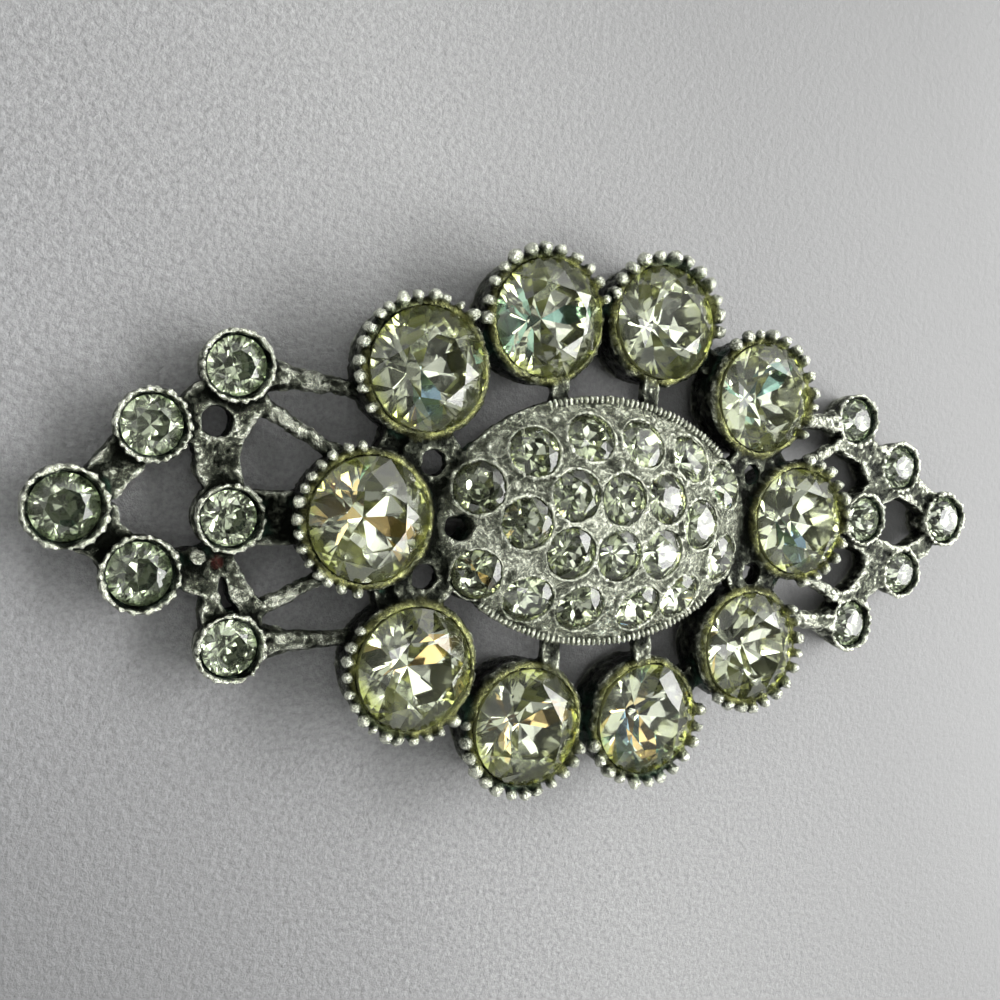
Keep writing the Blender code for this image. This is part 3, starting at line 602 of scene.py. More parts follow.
def add_ring_cup(number, solids, pockets, chance):
    """Tapered cup with a thin wavy lip and a row of cast knobs round its outer half."""
    centre = ring_centre(number)
    place = Matrix.Translation(centre)
    bottom = -LARGE_POCKET_DEPTH - CUP_FLOOR
    shoulder = LARGE_CUP_RADIUS - SHOULDER_INSET
    add_cone("cup", solids, place, bottom, -SHOULDER_DROP, LARGE_CUP_RADIUS - LARGE_CUP_TAPER, shoulder,
             CUP_SIDES)
    add_cone("cup_shoulder", solids, place, -SHOULDER_DROP - SHOULDER_OVERLAP, -LARGE_RIM_DROP, shoulder,
             LARGE_POCKET_RADIUS + SHOULDER_WIDTH, CUP_SIDES)
    add_drum("cup_pocket", pockets, centre, -LARGE_POCKET_DEPTH, CUT_REACH, LARGE_POCKET_RADIUS, CUP_SIDES)
    add_lip(solids, place, LARGE_POCKET_RADIUS - LIP_INSET, LARGE_POCKET_RADIUS + LIP_WALL, -LIP_DEPTH,
            -LIP_DROP, chance)
    middle = outward_angle(centre)
    share = KNOB_SHARES.get(number, 1.0)
    count = round(BEAD_COUNT / share)
    angles = [middle + BEAD_ARC * (step / (count - 1) - 0.5) + chance.uniform(-BEAD_WANDER, BEAD_WANDER)
              for step in range(count)]
    add_knobs("knobs", solids, centre, BEAD_REACH, angles, share * BEAD_RADIUS, -LARGE_RIM_DROP, chance)


def add_wing_cup(side, place, solids, pockets, chance):
    """Straight cup with a widening mouth and a ragged, finely beaded rim."""
    centre = wing_centre(side, place)
    width = WING_PLACES[side, place][3]
    matrix = Matrix.Translation(centre)
    rise = WING_RIM_SHARES[side] * WING_RIM_RISE
    outer = width * WING_CUP_RADIUS
    pocket = width * WING_POCKET_RADIUS
    mouth = width * WING_MOUTH_RADIUS
    add_turned("wing_cup", solids, matrix,
               ((-centre.z, outer - WING_CUP_TAPER), (-WING_WAIST_DROP, outer - WING_WAIST_INSET),
                (WING_SWELL, outer), (rise, outer - WING_RIM_INSET)), WING_SIDES)
    add_cone("flange", solids, matrix, WEB_LOW - centre.z, WEB_HIGH - centre.z, outer - FLANGE_INSET,
             outer + FLANGE_SPREAD, SEAT_SIDES)
    add_turned("wing_pocket", pockets, matrix,
               ((-WING_POCKET_DEPTH, WING_FLOOR_RADIUS), (-WING_LEDGE_DEPTH, pocket),
                (WING_SEAT_RISE, pocket), (WING_SWELL, 0.5 * (pocket + mouth)), (rise, mouth),
                (CUT_REACH, mouth + WING_MOUTH_FLARE)), WING_SIDES)
    angles = [2 * pi * (step + chance.uniform(-RIM_BEAD_WANDER, RIM_BEAD_WANDER)) / RIM_BEAD_COUNT
              for step in range(RIM_BEAD_COUNT)]
    add_knobs("rim_beads", solids, centre, outer - RIM_BEAD_INSET, angles, RIM_BEAD_RADIUS,
              rise - RIM_BEAD_DROP, chance)


def add_turned_dome(name, group, drop, outer, bottom, sides):
    """Dome form in rings from its middle outwards, closed by a flat bottom."""
    shape = bmesh.new()
    loops = []
    for ring in range(1, DOME_RINGS + 1):
        share = outer * sin(pi / 2 * ring / DOME_RINGS)
        loop = []
        for angle in turns(sides):
            x, y, _ = on_oval(angle, share * DOME_HALF_LENGTH, share * DOME_HALF_WIDTH)
            loop.append(shape.verts.new((x, y, dome_height(x, y) - drop)))
        loops.append(loop)
    loops.append([shape.verts.new((vert.co.x, vert.co.y, bottom)) for vert in loops[-1]])
    crown = shape.verts.new((0, 0, dome_height(0, 0) - drop))
    for step in range(sides):
        shape.faces.new((loops[0][step - 1], loops[0][step], crown))
    join_loops(shape, loops[::-1])
    shape.faces.new(loops[-1])
    add_form(name, shape, group)


def add_plaque_body(solids, pockets):
    """Dome of the plaque, with its border and the hollow under it."""
    top = PLAQUE_EDGE_HEIGHT
    low = top - PLAQUE_THICKNESS
    outline = [on_oval(angle, PLAQUE_HALF_LENGTH, PLAQUE_HALF_WIDTH) for angle in turns(OUTLINE_SIDES)]
    add_plate("plaque_border", solids, outline, top - PLAQUE_BORDER_THICKNESS, top)
    add_turned_dome("plaque_dome", solids, 0, 1.0, low, DOME_SIDES)
    add_turned_dome("plaque_hollow", pockets, PLAQUE_THICKNESS, PLAQUE_HOLLOW_SHARE, low - CUT_REACH,
                    DOME_SIDES // 2)


def add_plaque_ties(solids, pockets):
    """Ties, pierced corner plates and posts that carry the plaque in the ring."""
    top = PLAQUE_EDGE_HEIGHT
    for number in (5, 10):
        cup = ring_centre(number)
        start = Vector((copysign(DOME_HALF_LENGTH - END_TIE_OVERLAP, cup.x), 0, 0))
        cup.y = 0
        add_box("end_tie", solids, start, cup, END_TIE_WIDTH,
                top - 1.7 * TIE_THICKNESS, top - 0.1 * TIE_THICKNESS)
    spot = (END_HOLE_RADIUS - DOME_HALF_LENGTH, -END_HOLE_SHIFT, top)
    add_drum("end_hole", pockets, spot, -PLAQUE_THICKNESS - DOME_RISE, DOME_RISE, END_HOLE_RADIUS)
    for along, across, width in CORNER_HOLES:
        spot = (along * RING_HALF_LENGTH, across * RING_HALF_WIDTH, top - 0.15 * TIE_THICKNESS)
        add_drum("corner_plate", solids, spot, -TIE_THICKNESS, 0, CORNER_PLATE_RADIUS)
        add_drum("corner_hole", pockets, spot, -PLAQUE_THICKNESS - DOME_RISE, DOME_RISE,
                 width * CORNER_HOLE_RADIUS)
    for number, share in POSTS:
        cup = ring_centre(number)
        cup.x *= share
        edge = Vector((cup.x, copysign(0.97 * DOME_HALF_WIDTH, cup.y), 0))
        add_box("post", solids, edge, cup, POST_WIDTH,
                top - 1.2 * TIE_THICKNESS, top - 0.2 * TIE_THICKNESS)


def add_plaque_dots(solids):
    """Small cast dots between the pave stones."""
    shape = bmesh.new()
    for along, across in PLAQUE_DOTS:
        spot = dome_point(along, across, PLAQUE_DOT_RISE)
        add_ball(shape, PLAQUE_DOT_RADIUS, Matrix.Translation(spot))
    add_form("plaque_dots", shape, solids)


def add_necks(solids):
    count = len(RING_PLACES)
    for number in range(1, count + 1):
        start = ring_centre(number)
        end = ring_centre(number % count + 1)
        top = min(start.z, end.z) - NECK_DROP
        add_box("neck", solids, start, end, NECK_WIDTH, top - NECK_HEIGHT, top)


def cup_side(centre, radius, degrees, mirrored, height):
    angle = radians(180 - degrees if mirrored else degrees)
    return Vector((centre.x, centre.y, height)) + on_oval(angle, radius, radius)


def add_webs(solids, pockets):
    """Pierced web plates between the cups of both wings, with a slit, a hole and a small boss."""
    for side, corners in WEB_PLATES:
        add_plate("web", solids, [wing_point(side, *corner) for corner in corners], WEB_LOW, WEB_HIGH)
    add_plate("web_slit", pockets, [wing_point("left", *corner) for corner in WEB_SLIT], -CUT_REACH,
              2 * WEB_HIGH)
    add_drum("web_eye", pockets, wing_point("left", *WEB_EYE), -CUT_REACH, 2 * WEB_HIGH, WEB_HOLE_RADIUS)
    place = Matrix.Translation(wing_point("left", *WEB_BOSS, WEB_HIGH))
    add_cone("web_boss", solids, place, -BOSS_DEPTH, BOSS_RISE, BOSS_RADIUS, 0.8 * BOSS_RADIUS,
             BOSS_SIDES)


def add_swelling(name, group, start, end, radius, swelling):
    """Thicker stretch where a strut grows out of a cup."""
    share, first, second = swelling
    add_rod(name, group, start, start + share * (end - start), first * radius, second * radius)


def add_wing_ties(side, solids):
    """Stub and struts that carry one wing on the ring."""
    mirrored = side == "right"
    inner = wing_centre(side, "inner")
    stub_end = ring_centre(5 if mirrored else 10)
    stub_end.y = inner.y
    add_box("stub", solids, inner, stub_end, WING_STUB_WIDTH, 1.4 * WEB_LOW, WEB_HIGH + STUB_RISE)
    for place, leaving, left_cup, right_cup, meeting, start_width, end_width in STRUTS:
        end_cup = ring_centre(right_cup if mirrored else left_cup)
        start_radius = start_width * STRUT_RADIUS
        end_radius = end_width * STRUT_RADIUS
        reach = WING_PLACES[side, place][3] * WING_CUP_RADIUS - STRUT_INSET
        start = cup_side(wing_centre(side, place), reach, leaving, mirrored, STRUT_START_HEIGHT)
        end = cup_side(end_cup, LARGE_SEAT_RADIUS - end_radius, meeting, mirrored, STRUT_END_HEIGHT)
        add_rod("strut", solids, start, end, start_radius, end_radius)
        add_swelling("strut_root", solids, start, end, start_radius, STRUT_ROOT)
        add_swelling("strut_foot", solids, end, start, end_radius, STRUT_FOOT)


def add_pave_seats(solids, pockets):
    """Seats of the pave stones, each in its own sloping collar."""
    for number in PAVE_PLACES:
        matrix = pave_frame(number)
        add_cone("collar", solids, matrix, -COLLAR_DEPTH, COLLAR_RISE, PAVE_POCKET_RADIUS + COLLAR_FOOT,
                 PAVE_POCKET_RADIUS + COLLAR_WALL, SEAT_SIDES)
        add_turned("pave_pocket", pockets, matrix,
                   ((-PAVE_POCKET_DEPTH, PAVE_FLOOR_RADIUS), (-PAVE_LEDGE_DEPTH, PAVE_POCKET_RADIUS),
                    (CUT_REACH, PAVE_POCKET_RADIUS)), SEAT_SIDES)


def add_step(item, kind, **settings):
    """Modifier with its settings."""
    step = item.modifiers.new(kind, kind)
    for name, value in settings.items():
        setattr(step, name, value)


def add_ripple(item, name, size, strength):
    """Uneven cast surface of one scale."""
    texture = bpy.data.textures.new(name, "CLOUDS")
    texture.noise_scale = size
    texture.noise_depth = 2
    add_step(item, "DISPLACE", texture=texture, texture_coords="LOCAL", strength=strength, mid_level=0.5)


def read_points(mesh):
    points = np.empty(len(mesh.vertices) * 3)
    mesh.vertices.foreach_get("co", points)
    return points.reshape(-1, 3)


def write_values(mesh, name, values, domain="POINT"):
    """One number for each point or face of a mesh, for its material to read."""
    mesh.attributes.new(name, "FLOAT", domain).data.foreach_set("value", values)


def settle(item, name, low, high):
    """Turn an object and its modifiers into a plain mesh inside a box, flat where it rests."""
    graph = bpy.context.evaluated_depsgraph_get()
    mesh = bpy.data.meshes.new_from_object(item.evaluated_get(graph))
    mesh.name = name
    mesh.vertices.foreach_set("co", np.clip(read_points(mesh), low, high).ravel())
    mesh.update()
    result = link_object(name, mesh)
    bpy.data.objects.remove(item)
    return result


def measure_openness(mesh):
    """Share of the sky that each point sees near it: low in recesses, which the metal's colour darkens as
    tarnish and as painted shade.
    """
    tree = BVHTree.FromPolygons([vert.co for vert in mesh.vertices],
                                [tuple(face.vertices) for face in mesh.polygons])
    chance = random.Random(5)
    rays = []
    while len(rays) < OPENNESS_RAYS:
        ray = Vector([chance.uniform(-1, 1) for _ in range(3)])
        if 0.1 < ray.length < 1:
            rays.append(ray.normalized())
    values = []
    for vert in mesh.vertices:
        normal = vert.normal
        start = vert.co + normal * OPENNESS_START
        free = 0.0
        total = 0.0
        for ray in rays:
            side = ray.dot(normal)
            total += abs(side)
            if tree.ray_cast(start, ray if side > 0 else -ray, OPENNESS_REACH)[0] is None:
                free += abs(side)
        values.append(free / max(total, 0.001))
    write_values(mesh, "openness", values)


def measure_ridges(mesh):
    """How far each point stands out of its surroundings: high on ridges, where metal is rubbed."""
    points = read_points(mesh)
    count = len(points)
    normals = np.array([tuple(normal.vector) for normal in mesh.vertex_normals])
    ends = np.empty(len(mesh.edges) * 2, dtype=np.int32)
    mesh.edges.foreach_get("vertices", ends)
    first, second = ends.reshape(-1, 2).T
    links = np.bincount(ends, minlength=count).clip(1)
    smooth = points
    for _ in range(RIDGE_PASSES):
        total = [np.bincount(first, part[second], count) + np.bincount(second, part[first], count)
                 for part in smooth.T]
        smooth = np.stack(total, axis=1) / links[:, None]
    stand = ((points - smooth) * normals).sum(axis=1)
    write_values(mesh, "ridge", np.clip(0.5 + stand / RIDGE_SPAN, 0, 1))


def within(points, half_length, half_width, edge):
    """1 inside an oval and 0 outside, with a fade at its edge."""
    reach, fade = edge
    share = np.hypot(points[:, 0] / half_length, points[:, 1] / half_width)
    return np.clip((reach - share) / fade, 0, 1)


def measure_grime(mesh):
    """How near each point is to a stone's edge, and which points are the ring's and the plaque's."""
    points = read_points(mesh)
    grime = np.zeros(len(points))
    seats = [(ring_centre(number), LARGE_CUP_RADIUS - GRIME_INSET) for number in RING_PLACES]
    for side, place in WING_PLACES:
        seats.append((wing_centre(side, place), WING_PLACES[side, place][3] * WING_MOUTH_RADIUS))
    for centre, radius in seats:
        away = np.hypot(points[:, 0] - centre.x, points[:, 1] - centre.y)
        high = np.clip((points[:, 2] - centre.z + GRIME_DEPTH) / GRIME_SPAN, 0, 1)
        grime = np.maximum(grime, high * np.clip((radius - away) / GRIME_SPAN, 0, 1))
    write_values(mesh, "grime", grime)
    write_values(mesh, "ring", within(points, RING_HALF_LENGTH, RING_HALF_WIDTH, RING_EDGE))
    write_values(mesh, "face", within(points, DOME_HALF_LENGTH, DOME_HALF_WIDTH, FACE_EDGE))


def add_all_forms(solids, pockets):
    """Every form of the casting, and every form that is cut out of it."""
    chance = random.Random(11)
    for number in RING_PLACES:
        add_ring_cup(number, solids, pockets, chance)
    for side, place in WING_PLACES:
        add_wing_cup(side, place, solids, pockets, chance)
    add_plaque_body(solids, pockets)
    add_plaque_ties(solids, pockets)
    add_plaque_dots(solids)
    add_pave_seats(solids, pockets)
    add_necks(solids)
    add_webs(solids, pockets)
    for side in ("left", "right"):
        add_wing_ties(side, solids)


def make_casting(material, low, high):
    """The whole casting as one fine mesh, grown from a small block inside a neck."""
    solids = make_collection("casting_forms")
    pockets = make_collection("casting_pockets")
    add_all_forms(solids, pockets)
    middle = (ring_centre(1) + ring_centre(2)) / 2
    middle.z -= NECK_DROP + NECK_HEIGHT / 2
    shape = bmesh.new()
    bmesh.ops.create_cube(shape, size=NECK_WIDTH / 2, matrix=Matrix.Translation(middle))
    seed = add_form("casting_seed", shape, bpy.context.scene.collection)
    for operation, group in (("UNION", solids), ("DIFFERENCE", pockets)):
        add_step(seed, "BOOLEAN", operation=operation, operand_type="COLLECTION", collection=group,
                 solver="MANIFOLD")
    add_step(seed, "REMESH", mode="VOXEL", voxel_size=VOXEL)
    add_step(seed, "SMOOTH", factor=SMOOTHING, iterations=1)
    add_ripple(seed, "lumps", LUMP_SIZE, LUMP_DEPTH)
    add_ripple(seed, "grain", GRAIN_SIZE, GRAIN_DEPTH)
    casting = settle(seed, "cast_frame", low, high)
    for group in (solids, pockets):
        remove_all(group.objects)
        bpy.data.collections.remove(group)
    count = sum(len(face.vertices) - 2 for face in casting.data.polygons)
    add_step(casting, "DECIMATE", ratio=min(1.0, CASTING_FACES / count), use_collapse_triangulate=True)
    casting = settle(casting, "cast_frame", low, high)
    casting.data.shade_smooth()
    measure_openness(casting.data)
    measure_ridges(casting.data)
    measure_grime(casting.data)
    casting.data.materials.clear()
    casting.data.materials.append(material)
    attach(casting, "root")
    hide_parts("frame")


def on_facet(share, rim_share, height):
    """Height of a point halfway between two main facets, where both facets meet."""
    reach = share * cos(pi / 8)
    return height * (1 - reach) / (1 - rim_share)


def facet_facing(face):
    return tuple(round(part, 2) for part in face.normal)


def mark_facets(mesh, freshness_and_light, accents, chance):
    """One chance value for each flat facet, as old foil ages by whole facets and as painted facet shading,
    and a few coloured ones.
    """
    values = {}
    for face in mesh.polygons:
        values.setdefault(facet_facing(face), chance.uniform(freshness_and_light, FRESHEST_AND_LIGHTEST))
    back = [face for face in mesh.polygons if face.normal.z < -0.5]
    for degrees, foil in accents:
        way = on_oval(radians(degrees), 1, 1)
        chosen = max(back, key=lambda face: face.area * max(0.0, face.normal.dot(way)) ** 2)
        values[facet_facing(chosen)] = ACCENT_TONES[foil]
    write_values(mesh, "facet", [values[facet_facing(face)] for face in mesh.polygons], "FACE")


def brilliant_points(cut, chance):
    """Corners of a round brilliant that was cut a little unevenly."""
    radius, crown, girdle, pavilion = cut
    table = TABLE_SHARE * chance.uniform(1 - TABLE_WANDER, 1 + TABLE_WANDER)
    star = STAR_SHARE * chance.uniform(1 - STAR_WANDER, 1 + STAR_WANDER)
    points = circle_points(table * radius, crown, 8)
    points += circle_points(star * radius, on_facet(star, table, crown), 8, 0.5)
    points = [(x + chance.uniform(-CUT_WANDER, CUT_WANDER) * radius,
               y + chance.uniform(-CUT_WANDER, CUT_WANDER) * radius, z) for x, y, z in points]
    points += circle_points(radius, 0, GIRDLE_SIDES)
    points += circle_points(radius, -girdle, GIRDLE_SIDES)
    points += circle_points(LOWER_SHARE * radius, -girdle - on_facet(LOWER_SHARE, 0, pavilion), 8, 0.5)
    return points + [(0, 0, -girdle - pavilion)]


def make_brilliant(name, matrix, cut, materials, chance, freshness_and_light, accents=()):
    """Round brilliant: clear crown, yellowed girdle and foiled pavilion."""
    radius, _, girdle, _ = cut
    shape = bmesh.new()
    for point in brilliant_points(cut, chance):
        shape.verts.new(point)
    bmesh.ops.convex_hull(shape, input=shape.verts)
    bmesh.ops.recalc_face_normals(shape, faces=shape.faces)
    for face in shape.faces:
        height = face.calc_center_median().z
        face.material_index = int(height <= -0.1 * girdle) + int(height <= -1.01 * girdle)
    reach = shape.verts.layers.float.new("reach")
    for vert in shape.verts:
        vert[reach] = hypot(vert.co.x, vert.co.y) / radius
    shape.transform(matrix)
    mesh = bpy.data.meshes.new(name)
    shape.to_mesh(mesh)
    shape.free()
    mark_facets(mesh, freshness_and_light, accents, chance)
    for material in materials:
        mesh.materials.append(material)
    stone = link_object(name, mesh)
    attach(stone, "root")
    return stone


def leaning(matrix, slack, chance):
    """A seat, leaning by up to a few degrees and turned at random, as hand-set stones are."""
    tilt = Matrix.Rotation(radians(chance.uniform(-slack, slack)), 4, "X")
    lean = Matrix.Rotation(radians(chance.uniform(-slack, slack)), 4, "Y")
    return matrix @ tilt @ lean @ Matrix.Rotation(chance.uniform(0, pi / 4), 4, "Z")


def make_stones(looks):
    """Every cut stone in its seat."""
    chance = random.Random(3)
    materials = (looks["large_glass"], looks["yellowed_girdle"], looks["large_foil"])
    for number in RING_PLACES:
        seat = leaning(Matrix.Translation(ring_centre(number)), SEAT_SLACK, chance)
        stone = make_brilliant(f"cut_ring_{number:02d}", seat, LARGE_CUT, materials, chance,
                               RING_FRESHNESS_AND_LIGHT.get(number, 0.0), RING_ACCENTS.get(number, ()))
        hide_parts(f"ring_stone_{number:02d}")
    materials = (looks["small_glass"], looks["small_girdle"], looks["wing_foil"])
    for side, place in WING_PLACES:
        cut = (WING_PLACES[side, place][3] * WING_CUT[0], *WING_CUT[1:])
        seat = leaning(Matrix.Translation(wing_centre(side, place)), SEAT_SLACK, chance)
        stone = make_brilliant(f"cut_wing_{side}_{place}", seat, cut, materials, chance, WING_FRESHNESS_AND_LIGHT)
        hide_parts(f"wing_stone_{side}_{place}")
    materials = (looks["small_glass"], looks["small_girdle"], looks["pave_foil"])
    for number in PAVE_PLACES:
        seat = leaning(pave_frame(number), PAVE_SLACK, chance)
        stone = make_brilliant(f"cut_pave_{number:02d}", seat, PAVE_CUT, materials, chance,
                               PAVE_FRESHNESS_AND_LIGHT)
        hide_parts(f"pave_stone_{number:02d}")


def make_milgrain(material):
    """Row of small ribs along two stretches of the plaque's border."""
    chance = random.Random(8)
    shape = bmesh.new()
    for first, last, count in MILGRAIN_ARCS:
        for step in range(count):
            angle = radians(first + (last - first) * step / (count - 1))
            spot = on_oval(angle, PLAQUE_HALF_LENGTH - RIB_INSET, PLAQUE_HALF_WIDTH - RIB_INSET,
                           PLAQUE_EDGE_HEIGHT + RIB_RISE)
            facing = atan2(spot.y / PLAQUE_HALF_WIDTH ** 2, spot.x / PLAQUE_HALF_LENGTH ** 2)
            size = [part * chance.uniform(0.85, 1.1) for part in RIB_SIZE]
            matrix = Matrix.Translation(spot) @ Matrix.Rotation(facing, 4, "Z")
            matrix = matrix @ Matrix.Diagonal((*size, 1))
            bmesh.ops.create_icosphere(shape, subdivisions=2, radius=1, matrix=matrix)
    item = add_form("plaque_milgrain", shape, bpy.context.scene.collection)
    item.data.shade_smooth()
    item.data.materials.append(material)
    for name, value in METAL_MEASURES.items():
        write_values(item.data, name, [value] * len(item.data.vertices))
    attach(item, "root")


class Nodes:
    """Short way to write one node tree."""

    def __init__(self, tree, coordinates):
        self.tree = tree
        self.coordinates = coordinates

    def fill(self, socket, value):
        """Give a socket another one's value, a number or a colour."""
        if isinstance(value, bpy.types.NodeSocket):
            self.tree.links.new(value, socket)
        else:
            socket.default_value = (*value, 1) if isinstance(value, tuple) else value

    def node(self, kind, **values):
        """New node, with its settings and the values of its inputs."""
        item = self.tree.nodes.new(f"ShaderNode{kind}")
        for key, value in values.items():
            if hasattr(item, key):
                setattr(item, key, value)
            else:
                self.fill(item.inputs[key.title()], value)
        return item

    def attribute(self, name):
        return self.node("Attribute", attribute_name=name).outputs["Fac"]

    def place(self):
        return self.node("TexCoord").outputs[self.coordinates]

    def split(self):
        return self.node("SeparateXYZ", vector=self.place()).outputs

    def distance(self, spot, length):
        """How far each point is from a spot, as a share of a length."""
        item = self.node("VectorMath", operation="DISTANCE")
        item.inputs[1].default_value = spot
        self.fill(item.inputs[0], self.place())
        return self.times(item.outputs["Value"], 1 / length)

    def noise(self, scale, detail=3.0, roughness=0.6, distortion=0.0):
        return self.node("TexNoise", scale=scale, detail=detail, roughness=roughness,
                         distortion=distortion, vector=self.place()).outputs["Fac"]

    def ramp(self, value, *stops, stepped=False):
        """Tone by a value, through stops that each give a value and a colour or a grey."""
        item = self.node("ValToRGB", fac=value)
        elements = item.color_ramp.elements
        item.color_ramp.interpolation = "CONSTANT" if stepped else "LINEAR"
        while len(elements) < len(stops):
            elements.new(0.5)
        for element, (position, tone) in zip(elements, stops):
            element.position = position
            element.color = (*tone, 1) if isinstance(tone, tuple) else (tone, tone, tone, 1)
        return item.outputs["Color"]

    def mix(self, factor, first, second, blend="MIX"):
        item = self.node("Mix", data_type="RGBA", blend_type=blend)
        for index, value in ((0, factor), (6, first), (7, second)):
            self.fill(item.inputs[index], value)
        return item.outputs[2]

    def maths(self, operation, *values):
        item = self.node("Math", operation=operation)
        for socket, value in zip(item.inputs, values):
            self.fill(socket, value)
        return item.outputs[0]

    def times(self, first, second):
        return self.maths("MULTIPLY", first, second)

    def total(self, start, *parts):
        """A start plus each value in its share."""
        for value, share in parts:
            start = self.maths("MULTIPLY_ADD", value, share, start)
        return start


class Looks(Nodes):
    """Short way to write one node material."""

    def __init__(self, name):
        self.material = bpy.data.materials.new(name)
        self.material.use_nodes = True
        super().__init__(self.material.node_tree, "Object")
        self.shader = self.tree.nodes["Principled BSDF"]

    def set(self, **values):
        names = {"colour": "Base Color", "transmission": "Transmission Weight", "ior": "IOR"}
        for key, value in values.items():
            self.fill(self.shader.inputs[names.get(key, key.title())], value)

    def bump(self, height, distance):
        item = self.node("Bump", strength=1.0, distance=distance)
        self.fill(item.inputs["Height"], height)
        self.set(normal=item.outputs["Normal"])


def shaded(colour, share):
    return tuple(share * part for part in colour)


def cast_metal():
    """Old silver-coloured cast metal: bright where rubbed, black and green-grey in the recesses; the black
    there is tarnish and painted shade.
    """
    looks = Looks("cast_metal")
    openness, ridge, grime, ring, face = [looks.attribute(name) for name in METAL_MEASURES]
    patches = looks.noise(600, 4)
    fine = looks.noise(3600, 3, 0.6, 1.2)
    # Painted shade: the sky share darkens the metal in its recesses, on top of the tarnish there
    wear_and_shade = looks.total(-1.275, (openness, 0.44), (ridge, 1.2), (patches, 0.25), (fine, 1.1),
                       (grime, -0.45), (ring, -0.12))
    even = looks.total(-0.18, (openness, 0.44), (ridge, 0.2), (fine, 0.8))
    wear_and_shade = looks.total(wear_and_shade, (looks.maths("SUBTRACT", even, wear_and_shade), face))
    tone = looks.ramp(wear_and_shade, *METAL_TONES)
    green = looks.times(looks.ramp(openness, (0.25, 1), (0.6, 0)),
                        looks.ramp(looks.noise(240, 2), (0.5, 0), (0.62, 0.6)))
    tone = looks.mix(green, tone, VERDIGRIS)
    crust = looks.times(fine, looks.ramp(patches, (0.42, 0.2), (0.6, 1)))
    tone = looks.mix(looks.times(grime, crust), tone, looks.mix(ring, WING_GRIME, RING_GRIME))
    spread = looks.total(looks.distance(STAIN_PLACE, STAIN_RADIUS),
                         (patches, STAIN_WANDER / STAIN_RADIUS))
    tone = looks.mix(looks.ramp(spread, (0.55, 0.6), (1.0, 0)), tone, STAIN_TONE)
    looks.set(colour=tone, metallic=1.0, roughness=looks.ramp(wear_and_shade, (0.2, 0.28), (0.8, 0.11)))
    looks.bump(looks.noise(2600, 5, 0.7, 1.0), 0.25 * MM)
    return looks.material


def clear_glass(name, colour):
    """Clear glass with a little dust on it."""
    looks = Looks(name)
    dust = looks.noise(900, 3)
    looks.set(colour=looks.mix(dust, colour, shaded(colour, 0.95)), transmission=1.0, ior=1.55,
              roughness=looks.ramp(dust, (0.5, 0), (0.85, 0.06)))
    return looks.material


def girdle_glass(name, colour):
    looks = Looks(name)
    looks.set(colour=looks.mix(looks.noise(1300, 3), colour, shaded(colour, 0.7)), metallic=0.7,
              roughness=0.2)
    return looks.material


def stone_foil(name, tone, edge, start):
    """Aged mirror foil on a stone's back, yellowed towards the rim and dulled by whole facets, partly as
    age and partly as painted facet shading.
    """
    looks = Looks(name)
    ragged = looks.noise(1500, 3)
    # Stepped tones by facet: teal, painted amber fire, dulled shares of the foil's colour that are age and
    # painted facet shading, the full colour, and painted blue fire
    colour = looks.ramp(looks.attribute("facet"), (0.0, FOIL_TEAL), (0.05, PAINTED_FIRE_AMBER),
                        (0.09, shaded(tone, 0.40)), (0.26, shaded(tone, 0.72)), (0.50, tone),
                        (0.98, PAINTED_FIRE_BLUE), stepped=True)
    colour = looks.mix(looks.times(looks.noise(420, 2), 0.3), colour, tone)
    reach = looks.total(-0.2, (looks.attribute("reach"), 1), (ragged, 0.4))
    looks.set(colour=looks.mix(looks.ramp(reach, (start, 0), (1.0, 1)), colour, edge), metallic=0.95,
              roughness=looks.ramp(ragged, (0.4, 0.03), (0.7, 0.10)))
    return looks.material


def pin_steel():
    looks = Looks("pin_steel")
    grain = looks.noise(1500, 4)
    looks.set(colour=looks.mix(grain, (0.45, 0.45, 0.46), (0.25, 0.25, 0.25)), metallic=1.0,
              roughness=looks.ramp(grain, (0.3, 0.25), (0.7, 0.45)))
    return looks.material


def floor_sheet():
    """Pale grey sheet with a fine pebbled grain, its colour in painted shade: darker towards the right
    against the lamps' brighter light there, a little darker at the far left, and dimmed by a painted shadow
    at its lower left.
    """
    looks = Looks("floor_sheet")
    x, y, _ = looks.split()
    # Painted shade across the sheet, and a painted shadow patch at its lower left
    along = looks.total(0.5, (x, 10), (y, 4))
    shade = looks.ramp(along, (0.0, (0.37, 0.37, 0.38)), (0.45, 0.405), (0.75, 0.285), (1.0, 0.23))
    painted_shadow = looks.ramp(looks.distance(PAINTED_SHADOW_PLACE, PAINTED_SHADOW_RADIUS), (0.2, 0.7), (1.0, 0))
    shade = looks.mix(painted_shadow, shade, (0.10, 0.10, 0.10))
    ease = looks.ramp(along, (0.25, 1), (0.95, 0.22))
    speckle = looks.ramp(looks.noise(2600, 4, 0.7), (0.38, 0), (0.66, 0.6))
    looks.set(colour=looks.mix(looks.times(speckle, ease), shade, (0.18, 0.18, 0.18)), roughness=0.46)
    looks.bump(looks.times(looks.noise(1800, 5, 0.7), ease), 0.20 * MM)
    return looks.material


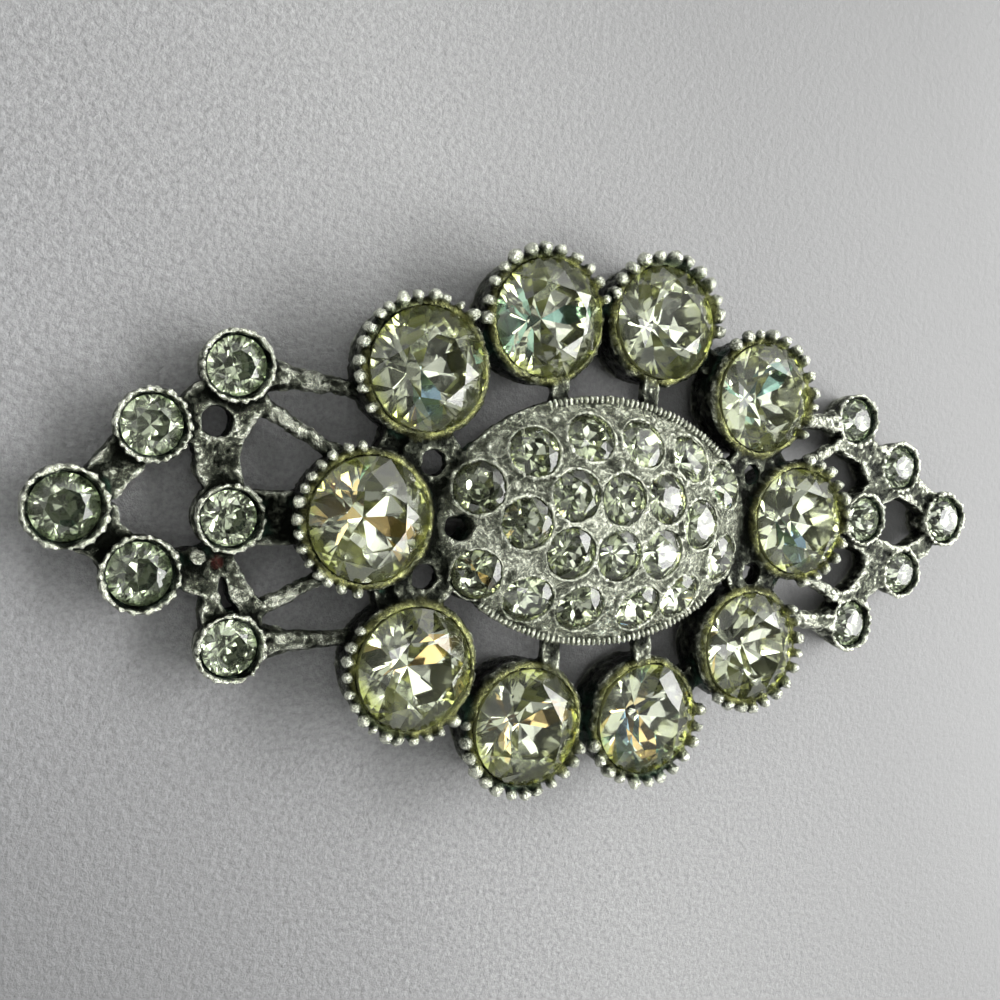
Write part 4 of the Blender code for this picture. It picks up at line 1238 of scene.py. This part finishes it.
def make_floor():
    shape = bmesh.new()
    bmesh.ops.create_grid(shape, x_segments=1, y_segments=1, size=FLOOR_REACH)
    floor = add_form("floor", shape, bpy.context.scene.collection)
    floor.data.materials.append(floor_sheet())


def make_room():
    """Dim room whose upper walls have dark and light panels, for the stones and metal to mirror."""
    world = bpy.data.worlds.new("studio")
    bpy.context.scene.world = world
    world.use_nodes = True
    room = Nodes(world.node_tree, "Generated")
    height = room.split()["Z"]
    panels = room.ramp(room.noise(4.2, 1.0, 0.5), *PANEL_TONES)
    walls = room.mix(room.ramp(height, (0.10, 0), (0.22, 1)), (1, 1, 1), panels)
    light = room.mix(1, room.ramp(height, *ROOM_TONES), walls, "MULTIPLY")
    room.fill(room.tree.nodes["Background"].inputs["Color"], light)


def make_lights():
    """Soft studio light: two broad low softboxes on the right, and dim strips."""
    for name, (place, size_x, size_y, power) in SOFTBOXES.items():
        light = bpy.data.lights.new(name, "AREA")
        light.shape = "RECTANGLE"
        light.size = size_x
        light.size_y = size_y
        light.energy = power
        item = link_object(name, light)
        item.location = place
        item.rotation_euler = (-Vector(place)).to_track_quat("-Z", "Y").to_euler()
    settings = bpy.context.scene.view_settings
    settings.view_transform = "Standard"
    settings.look = "None"


def make_camera():
    data = bpy.data.cameras.new("camera")
    data.lens = CAMERA_LENS
    data.sensor_width = 36
    data.clip_start = 0.001
    camera = link_object("camera", data)
    matrix = Matrix((CAMERA_RIGHT, CAMERA_UP, CAMERA_BACK)).transposed().to_4x4()
    matrix.translation = CAMERA_PLACE
    camera.matrix_world = matrix
    bpy.context.scene.camera = camera


def corners(box):
    return [list(corner) for corner in box]


def main():
    remove_all(bpy.data.objects)
    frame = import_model()
    make_camera()
    make_floor()
    make_room()
    make_lights()
    metal = cast_metal()
    looks = {name: clear_glass(name, colour) for name, colour in GLASS.items()}
    looks.update({name: girdle_glass(name, colour) for name, colour in GIRDLES.items()})
    looks.update({name: stone_foil(name, *values) for name, values in FOILS.items()})
    low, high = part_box("frame")
    make_casting(metal, low, high)
    make_milgrain(metal)
    make_stones(looks)
    pin = frame["nodes"]["back_pin"]
    pin.data.materials.clear()
    pin.data.materials.append(pin_steel())


main()
